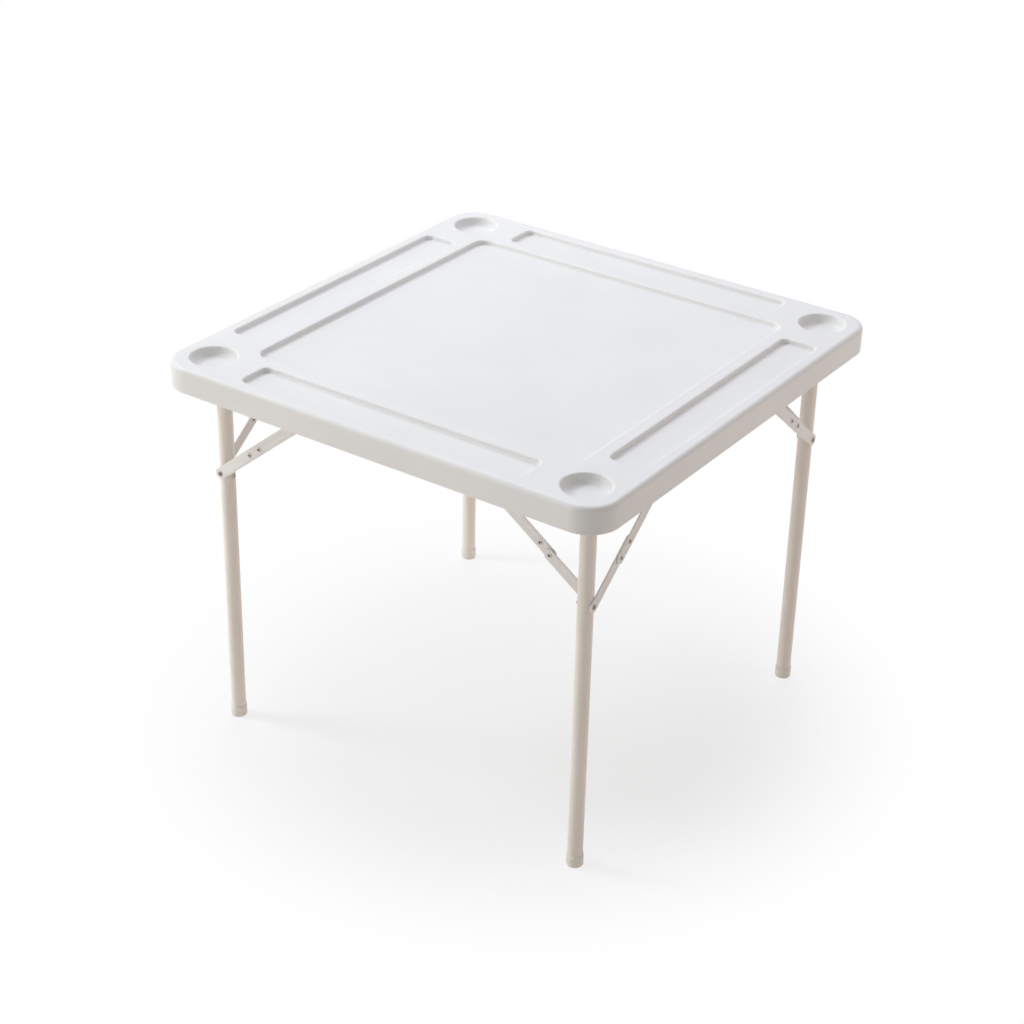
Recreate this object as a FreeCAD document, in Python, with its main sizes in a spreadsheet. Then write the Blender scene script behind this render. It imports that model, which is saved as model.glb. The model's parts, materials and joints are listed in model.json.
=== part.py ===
"""Square folding game table: moulded top, two folding leg frames and their elbow braces.

Millimetres, +Z up. The origin is on the floor under the middle of the top. X runs from the left leg
frame to the right one, and the front of the table faces -Y. Front pieces are built and then mirrored
to the back, apart from the braces and what carries them: both braces of a frame lie on the same side
of their legs along Y, so the back ones are shifted copies.
"""

import FreeCAD, Part
import Sketcher
import os
import re

# Driving sizes: name, value and meaning
SIZES = (
    ("top_side", "860", "side of the square top"),
    ("table_height", "709", "floor to the rim of the top"),
    ("edge_height", "45", "height of the apron"),
    ("skin", "3.5", "wall of the moulded top"),
    ("corner_radius", "54", "plan radius of the top's corners"),
    ("edge_round", "8", "rounding along the top's upper edge"),
    ("tray_inset", "23.5", "edge of the top to the outer side of a tile tray"),
    ("tray_width", "65", "width of a tile tray"),
    ("tray_end_inset", "158", "edge of the top to the end of a tile tray"),
    ("tray_depth", "9", "depth of a tile tray"),
    ("tray_corner", "12", "plan radius of a tile tray's corners"),
    ("field_rib", "24.5", "rib between a tile tray and the playing field"),
    ("field_depth", "9", "depth of the playing field"),
    ("field_corner", "22", "plan radius of the field's corners"),
    ("cup_inset", "65.5", "edges of the top to the middle of a cup holder"),
    ("cup_radius", "40", "radius of a cup holder at its rim"),
    ("cup_depth", "17", "depth of a cup holder"),
    ("cup_taper", "12", "lean of a cup holder's wall, in degrees"),
    ("rim_round", "3", "rounding of the recesses' upper edges"),
    ("floor_round", "3", "rounding of the floors of field and trays"),
    ("cup_round", "10", "rounding of the cup holders' floors"),
    ("base_thickness", "2.5", "wall of the pan under the top"),
    ("base_gap", "0.5", "gap between the pan and the apron"),
    ("base_rim", "8", "height of the pan's turned-down rim"),
    ("rib_width", "14", "width of a stiffening rib under the pan"),
    ("rib_depth", "4", "depth of a stiffening rib"),
    ("rib_end_inset", "140", "edge of the top to the end of a rib"),
    ("rib_spacing", "110", "distance between ribs"),
    ("boss_radius", "4.5", "radius of a screw boss"),
    ("boss_gap", "1.5", "gap between the pan's bosses and the trays above"),
    ("boss_offset", "100", "shell screws, from the table's middle line"),
    ("screw_radius", "2", "radius of a screw"),
    ("screw_head_radius", "4", "radius of a screw's head"),
    ("screw_head", "2.4", "height of a screw's head"),
    ("screw_gap", "0.1", "gap round a screw"),
    ("tip_gap", "1", "gap over a screw's tip"),
    ("leg_inset_x", "69", "left or right edge of the top to a leg's axis"),
    ("leg_inset_y", "81.5", "front or back edge of the top to a leg's axis"),
    ("leg_radius", "13", "outer radius of a leg tube"),
    ("tube_wall", "1.2", "wall of the leg tubes and crossbars"),
    ("crossbar_radius", "9.5", "outer radius of a crossbar"),
    ("weld_gap", "0.05", "gap at the welded joint of leg and crossbar"),
    ("plug_flange", "1.5", "thickness of a leg plug's flange"),
    ("plug_depth", "8", "length of a leg plug inside its tube"),
    ("plug_gap", "0.1", "gap between a leg plug and its tube"),
    ("foot_radius", "14.4", "outer radius of a foot cap"),
    ("foot_height", "22", "height of a foot cap"),
    ("foot_floor", "3", "thickness of a foot cap under the leg"),
    ("foot_round", "1.5", "rounding of a foot cap"),
    ("foot_gap", "0.05", "gap between a foot cap and its leg"),
    ("axis_below_base", "17", "pan to the folding axis of the left frame"),
    ("stack_drop", "32", "left folding axis down to the right one"),
    ("saddle_inset", "97", "leg's axis to the middle of a hinge saddle"),
    ("saddle_width", "24", "width of a hinge saddle along the crossbar"),
    ("saddle_wall", "3.5", "wall of a hinge saddle round its bore"),
    ("saddle_flange", "58", "length of a hinge saddle's flange"),
    ("saddle_plate", "4", "thickness of a hinge saddle's flange"),
    ("saddle_screw_inset", "7", "end of the flange to its screw"),
    ("turning_gap", "0.06", "running gap of the crossbars and brace pivots"),
    ("brace_pin_drop_left", "175", "left folding axis down to the left braces' pins in the legs"),
    ("brace_pin_drop_right", "180", "left folding axis down to the right braces' pins in the legs"),
    ("brace_reach_left", "212", "left leg to its brace's upper pivot"),
    ("brace_reach_right", "210", "right leg to its brace's upper pivot"),
    ("link_width", "20", "width of the brace links and stiffeners"),
    ("link_thickness", "2", "thickness of the brace links and stiffeners"),
    ("stud_left", "27", "elbow to stop stud on a left brace, towards the leg"),
    ("stud_right", "25", "elbow to stop stud on a right brace, towards the bracket"),
    ("pin_radius", "3", "radius of the pins"),
    ("pin_head_radius", "4.5", "radius of the pins' heads"),
    ("pin_head", "1.5", "thickness of the heads of pins and rivets"),
    ("collar_radius", "5.5", "radius of the spacers on the pins"),
    ("rivet_radius", "2.5", "radius of the rivets"),
    ("rivet_head_radius", "4", "radius of the rivets' heads"),
    ("rivet_gap", "0.05", "gap round pins and rivets that don't turn"),
    ("head_gap", "0.1", "gap under the heads of the pins"),
    ("passing_gap", "0.4", "gap between pieces that pass each other"),
    ("plate_gap", "0.3", "gap between plates that lie on each other"),
    ("ear_thickness", "1.8", "thickness of a brace bracket"),
    ("bracket_length", "38", "length of a brace bracket's flange"),
    ("bracket_flange", "26", "width of a brace bracket's flange"),
    ("bracket_screw_spacing", "22", "distance between a bracket's screws"),
    ("bracket_screw_inset", "10", "free edge of the flange to its screws"),
    ("stiff_pin_drop_left", "183", "left folding axis down to the left stiffeners' pins in the legs"),
    ("stiff_pin_drop_right", "174", "left folding axis down to the right stiffeners' pins in the legs"),
    ("stiff_reach_left", "240", "left leg to its stiffener's upper pin"),
    ("stiff_reach_right", "175", "right leg to its stiffener's upper pin"),
    ("stiff_rivet_low_left", "107", "left stiffener's leg pin to its first rivet"),
    ("stiff_rivet_high_left", "136", "left stiffener's leg pin to its second rivet"),
    ("stiff_rivet_low_right", "88", "right stiffener's leg pin to its first rivet"),
    ("stiff_rivet_high_right", "118", "right stiffener's leg pin to its second rivet"),
)

# Places worked out from the driving sizes
PLACES = (
    ("top_half", "top_side / 2"),
    ("tray_length", "top_side - 2 * tray_end_inset"),
    ("tray_centre", "top_half - tray_inset - tray_width / 2"),
    ("field_side", "top_side - 2 * (tray_inset + tray_width + field_rib)"),
    ("cup_centre", "top_half - cup_inset"),
    ("rib_line", "(field_side + field_rib) / 2"),
    ("base_drop", "cup_depth + skin"),
    ("base_side", "top_side - 2 * (skin + base_gap)"),
    ("base_corner", "corner_radius - skin - base_gap"),
    ("base_top", "table_height - base_drop"),
    ("base_bottom", "base_top - base_thickness"),
    ("boss_height", "base_drop - skin - max(tray_depth; field_depth) - boss_gap"),
    ("screw_tip", "base_top + boss_height - 2 * tip_gap"),
    ("leg_x", "top_half - leg_inset_x"),
    ("leg_y", "top_half - leg_inset_y"),
    ("axis_left", "base_bottom - axis_below_base"),
    ("axis_right", "axis_left - stack_drop"),
    ("saddle_offset", "leg_y - saddle_inset"),
    ("saddle_radius", "crossbar_radius + saddle_wall"),
    ("saddle_screw", "saddle_flange / 2 - saddle_screw_inset"),
    ("lower_face", "foot_radius + pin_head + passing_gap"),
    ("link_gap", "head_gap + pin_head + passing_gap"),
    ("upper_face", "lower_face + link_thickness + link_gap"),
    ("ear_face", "upper_face - plate_gap - ear_thickness"),
    ("blind_seat", "sqrt((leg_radius - tube_wall)^2 - pin_head_radius^2) - head_gap"),
    ("stiff_lower_face", "leg_radius + plate_gap"),
    ("stiff_upper_face", "stiff_lower_face + link_thickness + plate_gap"),
)

# Places that each frame has for itself; SIDE stands for left or right
SIDE_PLACES = (
    ("brace_pin_height_SIDE", "axis_left - brace_pin_drop_SIDE"),
    ("stiff_pin_height_SIDE", "axis_left - stiff_pin_drop_SIDE"),
    ("brace_drop_SIDE", "axis_SIDE - brace_pin_height_SIDE"),
    ("brace_length_SIDE", "hypot(brace_drop_SIDE; brace_reach_SIDE)"),
    ("lower_link_SIDE", "(brace_length_SIDE - brace_reach_SIDE + brace_drop_SIDE) / 2"),
    ("upper_link_SIDE", "brace_length_SIDE - lower_link_SIDE"),
    ("stiff_drop_SIDE", "axis_SIDE - stiff_pin_height_SIDE"),
    ("stiff_length_SIDE", "hypot(stiff_drop_SIDE; stiff_reach_SIDE)"),
)
SIDE_SLOPES = (
    ("brace_slope_SIDE", "atan2(brace_drop_SIDE; brace_reach_SIDE)"),
    ("stiff_slope_SIDE", "atan2(stiff_drop_SIDE; stiff_reach_SIDE)"),
)
SIDES = ("left", "right")

# Signs of each frame: along X away from the middle, and along Y from its legs to their braces
OUTWARD_X = {"left": "-1", "right": "1"}
BRACE_SIDE = {"left": "-1", "right": "1"}

X_AXIS = FreeCAD.Vector(1, 0, 0)
Y_AXIS = FreeCAD.Vector(0, 1, 0)
Z_AXIS = FreeCAD.Vector(0, 0, 1)
ORIGIN = FreeCAD.Vector(0, 0, 0)
QUARTER_TURN = 90
HALF_TURN = 180
FULL_TURN = 360
EDGES_OF_TOP = ("front", "right", "back", "left")
RIB_COUNT = 5
TOLERANCE = 1e-4

doc = FreeCAD.newDocument("FoldingGameTable")
sheet = doc.addObject("Spreadsheet::Sheet", "Sizes")
for row, (alias, number, meaning) in enumerate(SIZES, start=1):
    sheet.set(f"A{row}", meaning)
    sheet.set(f"B{row}", number)
    sheet.setAlias(f"B{row}", alias)
doc.recompute()

places = doc.addObject("App::VarSet", "Places")
owner = {alias: "Sizes" for alias, number, meaning in SIZES}
nodes = {}


def full(expression):
    """An expression with each named size or place given its owner's name."""
    return re.sub(
        r"[a-z][a-z_]+[a-z]",
        lambda found: f"{owner[found[0]]}.{found[0]}" if found[0] in owner else found[0],
        str(expression),
    )


def value(expression):
    """The present number of an expression."""
    return float(places.evalExpression(full(expression)))


def bind(thing, **expressions):
    """Tie properties of a document object to expressions; double underscores stand for dots."""
    for name, expression in expressions.items():
        thing.setExpression(name.replace("__", "."), full(expression))


def add_place(name, expression, kind="App::PropertyFloat"):
    """Add a worked-out place that later expressions can use."""
    places.addProperty(kind, name)
    places.setExpression(name, full(expression))
    owner[name] = "Places"


for place_name, place_expression in PLACES:
    add_place(place_name, place_expression)
for side in SIDES:
    for place_name, place_expression in SIDE_PLACES:
        add_place(place_name.replace("SIDE", side), place_expression.replace("SIDE", side))
    for place_name, place_expression in SIDE_SLOPES:
        add_place(
            place_name.replace("SIDE", side),
            place_expression.replace("SIDE", side),
            "App::PropertyAngle",
        )
doc.recompute()


# Solids and ways to join them


def box(name, length, width, height, x, y, z):
    """A box from its low corner."""
    solid = doc.addObject("Part::Box", name)
    bind(solid, Length=length, Width=width, Height=height)
    bind(solid, Placement__Base__x=x, Placement__Base__y=y, Placement__Base__z=z)
    return solid


def rod(name, axis, radius, start, end, across, up):
    """A round bar along an axis from start to end; across and up are its other two coordinates in order."""
    solid = doc.addObject("Part::Cylinder", name)
    bind(solid, Radius=radius, Height=f"({end}) - ({start})")
    turns = {
        "x": FreeCAD.Rotation(Y_AXIS, QUARTER_TURN),
        "y": FreeCAD.Rotation(X_AXIS, -QUARTER_TURN),
        "z": FreeCAD.Rotation(),
    }
    solid.Placement = FreeCAD.Placement(ORIGIN, turns[axis])
    order = {"x": (start, across, up), "y": (across, start, up), "z": (across, up, start)}
    x, y, z = order[axis]
    bind(solid, Placement__Base__x=x, Placement__Base__y=y, Placement__Base__z=z)
    return solid


def fuse(name, solids):
    """Solids joined into one."""
    joined = doc.addObject("Part::MultiFuse", name)
    joined.Shapes = solids
    joined.Refine = True
    return joined


def cut(name, base, tools):
    """A solid with other solids taken out of it."""
    result = doc.addObject("Part::Cut", name)
    result.Base = base
    result.Tool = tools[0] if len(tools) == 1 else fuse(name + "_tools", tools)
    return result


def group(name, solids):
    """Separate solids kept together."""
    bundle = doc.addObject("Part::Compound", name)
    bundle.Links = solids
    return bundle


def mirror(name, source):
    """The back copy of a front piece, turned round."""
    copy = doc.addObject("Part::Mirroring", name)
    copy.Source = source
    copy.Base = ORIGIN
    copy.Normal = Y_AXIS
    return copy


def keep(label, thing):
    """Name a finished sub-part."""
    thing.Label = label
    nodes[label] = thing


def shift(name, source):
    """The back copy of a front piece, on the same side of its leg."""
    copy = group(name, [source])
    bind(copy, Placement__Base__y="2 * leg_y")
    return copy


def keep_pair(stem, front, copy=mirror):
    """Name a front piece and its back copy."""
    keep(stem + "_front", front)
    keep(stem + "_back", copy(stem + "_back", front))


def keep_group(label, front_solids, copy=mirror):
    """Name a group of front solids together with their back copies."""
    back_solids = [copy(solid.Name + "_back", solid) for solid in front_solids]
    keep(label, group(label, front_solids + back_solids))


# Sketched bodies


def sketch_on(body, name, plane, x=0, y=0, z=0):
    """A sketch on one of its body's own planes, shifted by x, y and z in the plane's directions."""
    sketch = body.newObject("Sketcher::SketchObject", name)
    support = [thing for thing in body.Origin.OriginFeatures if thing.Role == plane][0]
    sketch.AttachmentSupport = [(support, "")]
    sketch.MapMode = "FlatFace"
    bind(sketch, AttachmentOffset__Base__x=x, AttachmentOffset__Base__y=y, AttachmentOffset__Base__z=z)
    return sketch


def dimension(sketch, name, expression, kind, *elements):
    """A named sketch dimension tied to an expression."""
    index = sketch.addConstraint(Sketcher.Constraint(kind, *elements, value(expression)))
    sketch.renameConstraint(index, name)
    sketch.setExpression(f"Constraints.{name}", full(expression))


def arc(x, y, radius, start, end):
    """An arc of a circle, its ends in quarter turns from +X."""
    circle = Part.Circle(FreeCAD.Vector(x, y, 0), Z_AXIS, radius)
    quarter = FreeCAD.Units.Quantity("90 deg").getValueAs("rad").Value
    return Part.ArcOfCircle(circle, start * quarter, end * quarter)


def line(x_start, y_start, x_end, y_end):
    """A straight line in a sketch."""
    return Part.LineSegment(FreeCAD.Vector(x_start, y_start, 0), FreeCAD.Vector(x_end, y_end, 0))


def draw_rounded_rectangle(sketch, stem, width, depth, radius):
    """A rectangle with round corners, centred on the sketch's origin."""
    half_x = value(width) / 2
    half_y = value(depth) / 2
    r = value(radius)
    first = sketch.addGeometry(line(r - half_x, -half_y, half_x - r, -half_y))
    sketch.addGeometry(arc(half_x - r, r - half_y, r, 3, 4))
    sketch.addGeometry(line(half_x, r - half_y, half_x, half_y - r))
    sketch.addGeometry(arc(half_x - r, half_y - r, r, 0, 1))
    sketch.addGeometry(line(half_x - r, half_y, r - half_x, half_y))
    sketch.addGeometry(arc(r - half_x, half_y - r, r, 1, 2))
    sketch.addGeometry(line(-half_x, half_y - r, -half_x, r - half_y))
    sketch.addGeometry(arc(r - half_x, r - half_y, r, 2, 3))
    pieces = sketch.GeometryCount - first
    for step in range(pieces):
        following = first + (step + 1) % pieces
        sketch.addConstraint(Sketcher.Constraint("Tangent", first + step, 2, following, 1))
    bottom, right, top, left = (first + step for step in (0, 2, 4, 6))
    sketch.addConstraint(Sketcher.Constraint("Horizontal", bottom))
    sketch.addConstraint(Sketcher.Constraint("Vertical", right))
    sketch.addConstraint(Sketcher.Constraint("Horizontal", top))
    sketch.addConstraint(Sketcher.Constraint("Vertical", left))
    for step in (3, 5):
        sketch.addConstraint(Sketcher.Constraint("Equal", first + 1, first + step))
    dimension(sketch, stem + "_radius", radius, "Radius", first + 1)
    dimension(sketch, stem + "_width", width, "DistanceX", left, 1, right, 1)
    dimension(sketch, stem + "_depth", depth, "DistanceY", bottom, 1, top, 1)
    dimension(sketch, stem + "_half_width", f"({width}) / 2", "DistanceX", -1, 1, right, 1)
    dimension(sketch, stem + "_half_depth", f"({depth}) / 2", "DistanceY", -1, 1, top, 1)


def draw_circle(sketch, stem, radius, x, y):
    """A circle at a place in the sketch."""
    centre = FreeCAD.Vector(value(x), value(y), 0)
    ring = sketch.addGeometry(Part.Circle(centre, Z_AXIS, value(radius)))
    dimension(sketch, stem + "_radius", radius, "Radius", ring)
    dimension(sketch, stem + "_across", x, "DistanceX", -1, 1, ring, 3)
    dimension(sketch, stem + "_up", y, "DistanceY", -1, 1, ring, 3)


def draw_slot(sketch, stem, length, width):
    """A bar with round ends, from the sketch's origin along its X axis to the second end's centre."""
    reach = value(length)
    r = value(width) / 2
    low = sketch.addGeometry(line(0, -r, reach, -r))
    far = sketch.addGeometry(arc(reach, 0, r, -1, 1))
    high = sketch.addGeometry(line(reach, r, 0, r))
    near = sketch.addGeometry(arc(0, 0, r, 1, 3))
    for one, other in ((low, far), (far, high), (high, near), (near, low)):
        sketch.addConstraint(Sketcher.Constraint("Tangent", one, 2, other, 1))
    sketch.addConstraint(Sketcher.Constraint("Horizontal", low))
    sketch.addConstraint(Sketcher.Constraint("Coincident", near, 3, -1, 1))
    sketch.addConstraint(Sketcher.Constraint("PointOnObject", far, 3, -1))
    dimension(sketch, stem + "_length", length, "DistanceX", -1, 1, far, 3)
    dimension(sketch, stem + "_half_width", f"({width}) / 2", "Radius", far)


def pad(body, sketch, length, downward=False, centred=False):
    """A sketch made solid, upwards unless told otherwise."""
    feature = body.newObject("PartDesign::Pad", sketch.Name + "_pad")
    feature.Profile = sketch
    feature.Reversed = downward
    if centred:
        feature.SideType = "Symmetric"
    bind(feature, Length=length)
    doc.recompute()
    return feature


def pocket(body, sketch, depth, upward=False, taper="0"):
    """A sketch cut into its body, downwards unless told otherwise."""
    before = body.Shape.Volume
    feature = body.newObject("PartDesign::Pocket", sketch.Name + "_pocket")
    feature.Profile = sketch
    feature.Reversed = upward
    bind(feature, Length=depth, TaperAngle=taper)
    doc.recompute()
    if body.Shape.Volume > before - TOLERANCE:
        raise RuntimeError(f"{feature.Name} cuts nothing")
    return feature


def turn_copies(body, name, features):
    """Copies of features on the four sides of the top."""
    pattern = body.newObject("PartDesign::PolarPattern", name)
    pattern.Originals = features
    pattern.Axis = ([thing for thing in body.Origin.OriginFeatures if thing.Role == "Z_Axis"][0], [""])
    pattern.Angle = FULL_TURN
    pattern.Occurrences = len(EDGES_OF_TOP)
    body.Tip = pattern
    doc.recompute()
    return pattern


def level_edges(shape, height, within=None):
    """Names of a shape's edges that lie level at a height, and within a distance of the Z axis in X and Y."""
    names = []
    for index, edge in enumerate(shape.Edges, start=1):
        bounds = edge.BoundBox
        level = abs(bounds.ZMin - height) < TOLERANCE and abs(bounds.ZMax - height) < TOLERANCE
        spread = max(abs(bounds.XMin), abs(bounds.XMax), abs(bounds.YMin), abs(bounds.YMax))
        if level and (within is None or spread < within):
            names.append(f"Edge{index}")
    return names


def round_edges(body, name, base, edges, radius):
    """Edges of a body rounded."""
    feature = body.newObject("PartDesign::Fillet", name)
    feature.Base = (base, edges)
    bind(feature, Radius=radius)
    body.Tip = feature
    doc.recompute()
    return feature


# Moulded top


def draw_recesses(body, level, wall):
    """Field, trays and cup holders cut from a level, each wider by a wall all round."""
    field = sketch_on(body, body.Name + "_field", "XY_Plane", z=level)
    field_side = f"field_side + 2 * {wall}"
    draw_rounded_rectangle(field, "field", field_side, field_side, f"field_corner + {wall}")
    pocket(body, field, "field_depth")
    tray = sketch_on(body, body.Name + "_tray", "XY_Plane", y="-tray_centre", z=level)
    tray_length = f"tray_length + 2 * {wall}"
    tray_width = f"tray_width + 2 * {wall}"
    draw_rounded_rectangle(tray, "tray", tray_length, tray_width, f"tray_corner + {wall}")
    tray_pocket = pocket(body, tray, "tray_depth")
    cup = sketch_on(body, body.Name + "_cup", "XY_Plane", x="-cup_centre", y="-cup_centre", z=level)
    draw_circle(cup, "cup", f"cup_radius + {wall}", "0", "0")
    cup_pocket = pocket(body, cup, "cup_depth", taper="-cup_taper")
    return turn_copies(body, body.Name + "_recesses", [tray_pocket, cup_pocket])


def build_top_shell():
    """Skin of the top: a rounded slab with its recesses, hollowed from below."""
    slab = doc.addObject("PartDesign::Body", "slab")
    outline = sketch_on(slab, "slab_outline", "XY_Plane", z="table_height")
    draw_rounded_rectangle(outline, "slab", "top_side", "top_side", "corner_radius")
    block = pad(slab, outline, "edge_height", downward=True)
    rim = value("table_height")
    round_edges(slab, "slab_edge", block, level_edges(block.Shape, rim), "edge_round")
    recesses = draw_recesses(slab, "table_height", "0")
    inside = value("top_half - edge_round") - TOLERANCE
    rims = level_edges(recesses.Shape, rim, inside)
    rounded = round_edges(slab, "slab_rims", recesses, rims, "rim_round")
    depths = {value("field_depth"), value("tray_depth")}
    floors = [name for depth in depths for name in level_edges(rounded.Shape, rim - depth, inside)]
    floored = round_edges(slab, "slab_floors", rounded, floors, "floor_round")
    cup_floors = level_edges(floored.Shape, rim - value("cup_depth"), inside)
    round_edges(slab, "slab_cups", floored, cup_floors, "cup_round")

    hollow = doc.addObject("PartDesign::Body", "hollow")
    outline = sketch_on(hollow, "hollow_outline", "XY_Plane", z="table_height - skin")
    side_length = "top_side - 2 * skin"
    draw_rounded_rectangle(outline, "hollow", side_length, side_length, "corner_radius - skin")
    block = pad(hollow, outline, "edge_height", downward=True)
    ceiling = value("table_height - skin")
    round_edges(hollow, "hollow_edge", block, level_edges(block.Shape, ceiling), "edge_round - skin")
    draw_recesses(hollow, "table_height - skin", "skin")
    bosses = sketch_on(hollow, "hollow_bosses", "XY_Plane", z="table_height - skin")
    for stem, y in (("fore", "-boss_offset"), ("aft", "boss_offset")):
        draw_circle(bosses, stem + "_boss", "boss_radius", "rib_line", y)
        draw_circle(bosses, stem + "_bore", "screw_radius + screw_gap", "rib_line", y)
    boss_pocket = pocket(hollow, bosses, "base_drop - skin")
    turn_copies(hollow, "hollow_boss_copies", [boss_pocket])
    keep("top_shell", cut("top_shell", slab, [hollow]))


def shell_screw_places():
    """Places of the screws between the two shells, as X and Y expressions, front half."""
    return (
        ("-rib_line", "-boss_offset"),
        ("rib_line", "-boss_offset"),
        ("-boss_offset", "-rib_line"),
        ("boss_offset", "-rib_line"),
    )


def saddle_screw_places():
    """Places of the hinge saddles' screws, front half."""
    return tuple(
        (f"{OUTWARD_X[side]} * leg_x {sign} saddle_screw", "-saddle_offset")
        for side in SIDES
        for sign in "-+"
    )


def bracket_screw_places():
    """Places of the brace brackets' screws, front half."""
    reach = "(ear_face + bracket_flange - bracket_screw_inset)"
    return tuple(
        (f"{pivot_x(side)} {sign} bracket_screw_spacing / 2", brace_y(side, reach))
        for side in SIDES
        for sign in "-+"
    )


def pivot_x(side):
    """X of a brace's upper pivot."""
    return f"{OUTWARD_X[side]} * (leg_x - brace_reach_{side})"


def brace_y(side, distance):
    """Y of a front brace's plane at a distance from its leg's axis, towards the brace."""
    return f"(-leg_y + {BRACE_SIDE[side]} * ({distance}))"


def build_base_shell():
    """Pan under the top, with its rim, ribs, bosses and screw holes."""
    pan = doc.addObject("PartDesign::Body", "base_shell")
    outline = sketch_on(pan, "pan_outline", "XY_Plane", z="base_top")
    draw_rounded_rectangle(outline, "pan", "base_side", "base_side", "base_corner")
    pad(pan, outline, "base_thickness", downward=True)
    rim = sketch_on(pan, "pan_rim", "XY_Plane", z="base_bottom")
    draw_rounded_rectangle(rim, "outer", "base_side", "base_side", "base_corner")
    inner_side = "base_side - 2 * base_thickness"
    draw_rounded_rectangle(rim, "inner", inner_side, inner_side, "base_corner - base_thickness")
    pad(pan, rim, "base_rim", downward=True)
    rib_start = "rib_end_inset - top_half"
    first_rib = f"-{(RIB_COUNT - 1) // 2} * rib_spacing"
    rib = sketch_on(pan, "pan_rib", "XY_Plane", x=rib_start, y=first_rib, z="base_bottom")
    draw_slot(rib, "rib", "top_side - 2 * rib_end_inset", "rib_width")
    rib_pad = pad(pan, rib, "rib_depth", downward=True)
    ribs = pan.newObject("PartDesign::LinearPattern", "pan_ribs")
    ribs.Originals = [rib_pad]
    ribs.Direction = ([thing for thing in pan.Origin.OriginFeatures if thing.Role == "Y_Axis"][0], [""])
    ribs.Occurrences = RIB_COUNT
    bind(ribs, Length=f"{RIB_COUNT - 1} * rib_spacing")
    pan.Tip = ribs
    doc.recompute()

    blind = [*saddle_screw_places(), *bracket_screw_places()]
    blind += [(x, f"-({y})") for x, y in saddle_screw_places()]
    blind += [(x, f"{y} + 2 * leg_y") for x, y in bracket_screw_places()]
    bosses = sketch_on(pan, "pan_bosses", "XY_Plane", z="base_top")
    bores = sketch_on(pan, "pan_bores", "XY_Plane", z="base_bottom")
    for number, (x, y) in enumerate(blind):
        draw_circle(bosses, f"boss_{number}", "boss_radius", x, y)
        draw_circle(bores, f"bore_{number}", "screw_radius + screw_gap", x, y)
    pad(pan, bosses, "boss_height")
    pocket(pan, bores, "base_thickness + boss_height - tip_gap", upward=True)
    through = [*shell_screw_places(), *((x, f"-({y})") for x, y in shell_screw_places())]
    holes = sketch_on(pan, "pan_holes", "XY_Plane", z="base_bottom")
    for number, (x, y) in enumerate(through):
        draw_circle(holes, f"hole_{number}", "screw_radius + screw_gap", x, y)
    pocket(pan, holes, "base_thickness", upward=True)
    keep("base_shell", pan)


def screw(name, x, y, seat, tip):
    """A screw driven upwards: its head lies under the seat."""
    head = rod(name + "_head", "z", "screw_head_radius", f"{seat} - screw_head", seat, x, y)
    shank = rod(name + "_shank", "z", "screw_radius", f"{seat} - screw_head / 2", tip, x, y)
    return fuse(name, [head, shank])


def build_screws(label, screw_places, seat, tip, copy=mirror):
    """A group of like screws, front and back."""
    front = [screw(f"{label}_{number}", x, y, seat, tip) for number, (x, y) in enumerate(screw_places)]
    keep_group(label, front, copy)


def build_saddles():
    """Hinge saddles that hold the crossbars under the pan."""
    for side in SIDES:
        stem = f"hinge_saddle_{side}"
        centre = f"{OUTWARD_X[side]} * leg_x"
        front = "-saddle_offset - saddle_width / 2"
        back = "-saddle_offset + saddle_width / 2"
        axis = f"axis_{side}"
        flange = box(
            stem + "_flange", "saddle_flange", "saddle_width", "saddle_plate",
            f"{centre} - saddle_flange / 2", front, "base_bottom - saddle_plate",
        )
        web = box(
            stem + "_web", "2 * saddle_radius", "saddle_width", f"base_bottom - {axis}",
            f"{centre} - saddle_radius", front, axis,
        )
        barrel = rod(stem + "_barrel", "y", "saddle_radius", front, back, centre, axis)
        bore = rod(stem + "_bore", "y", "crossbar_radius + turning_gap", front, back, centre, axis)
        holes = [
            rod(
                f"{stem}_hole_{number}", "z", "screw_radius + screw_gap",
                "base_bottom - saddle_plate", "base_bottom",
                f"{centre} {sign} saddle_screw", "-saddle_offset",
            )
            for number, sign in enumerate("-+")
        ]
        keep_pair(stem, cut(stem, fuse(stem + "_block", [flange, web, barrel]), [bore, *holes]))


# Folding braces and their brackets


def brace_rod(name, side, radius, start, end, x, z):
    """A round bar along a front brace's pins, between two distances from the leg's axis towards the brace."""
    low, high = sorted((start, end), key=lambda edge: value(brace_y(side, edge)))
    return rod(name, "y", radius, brace_y(side, low), brace_y(side, high), x, z)


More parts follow.
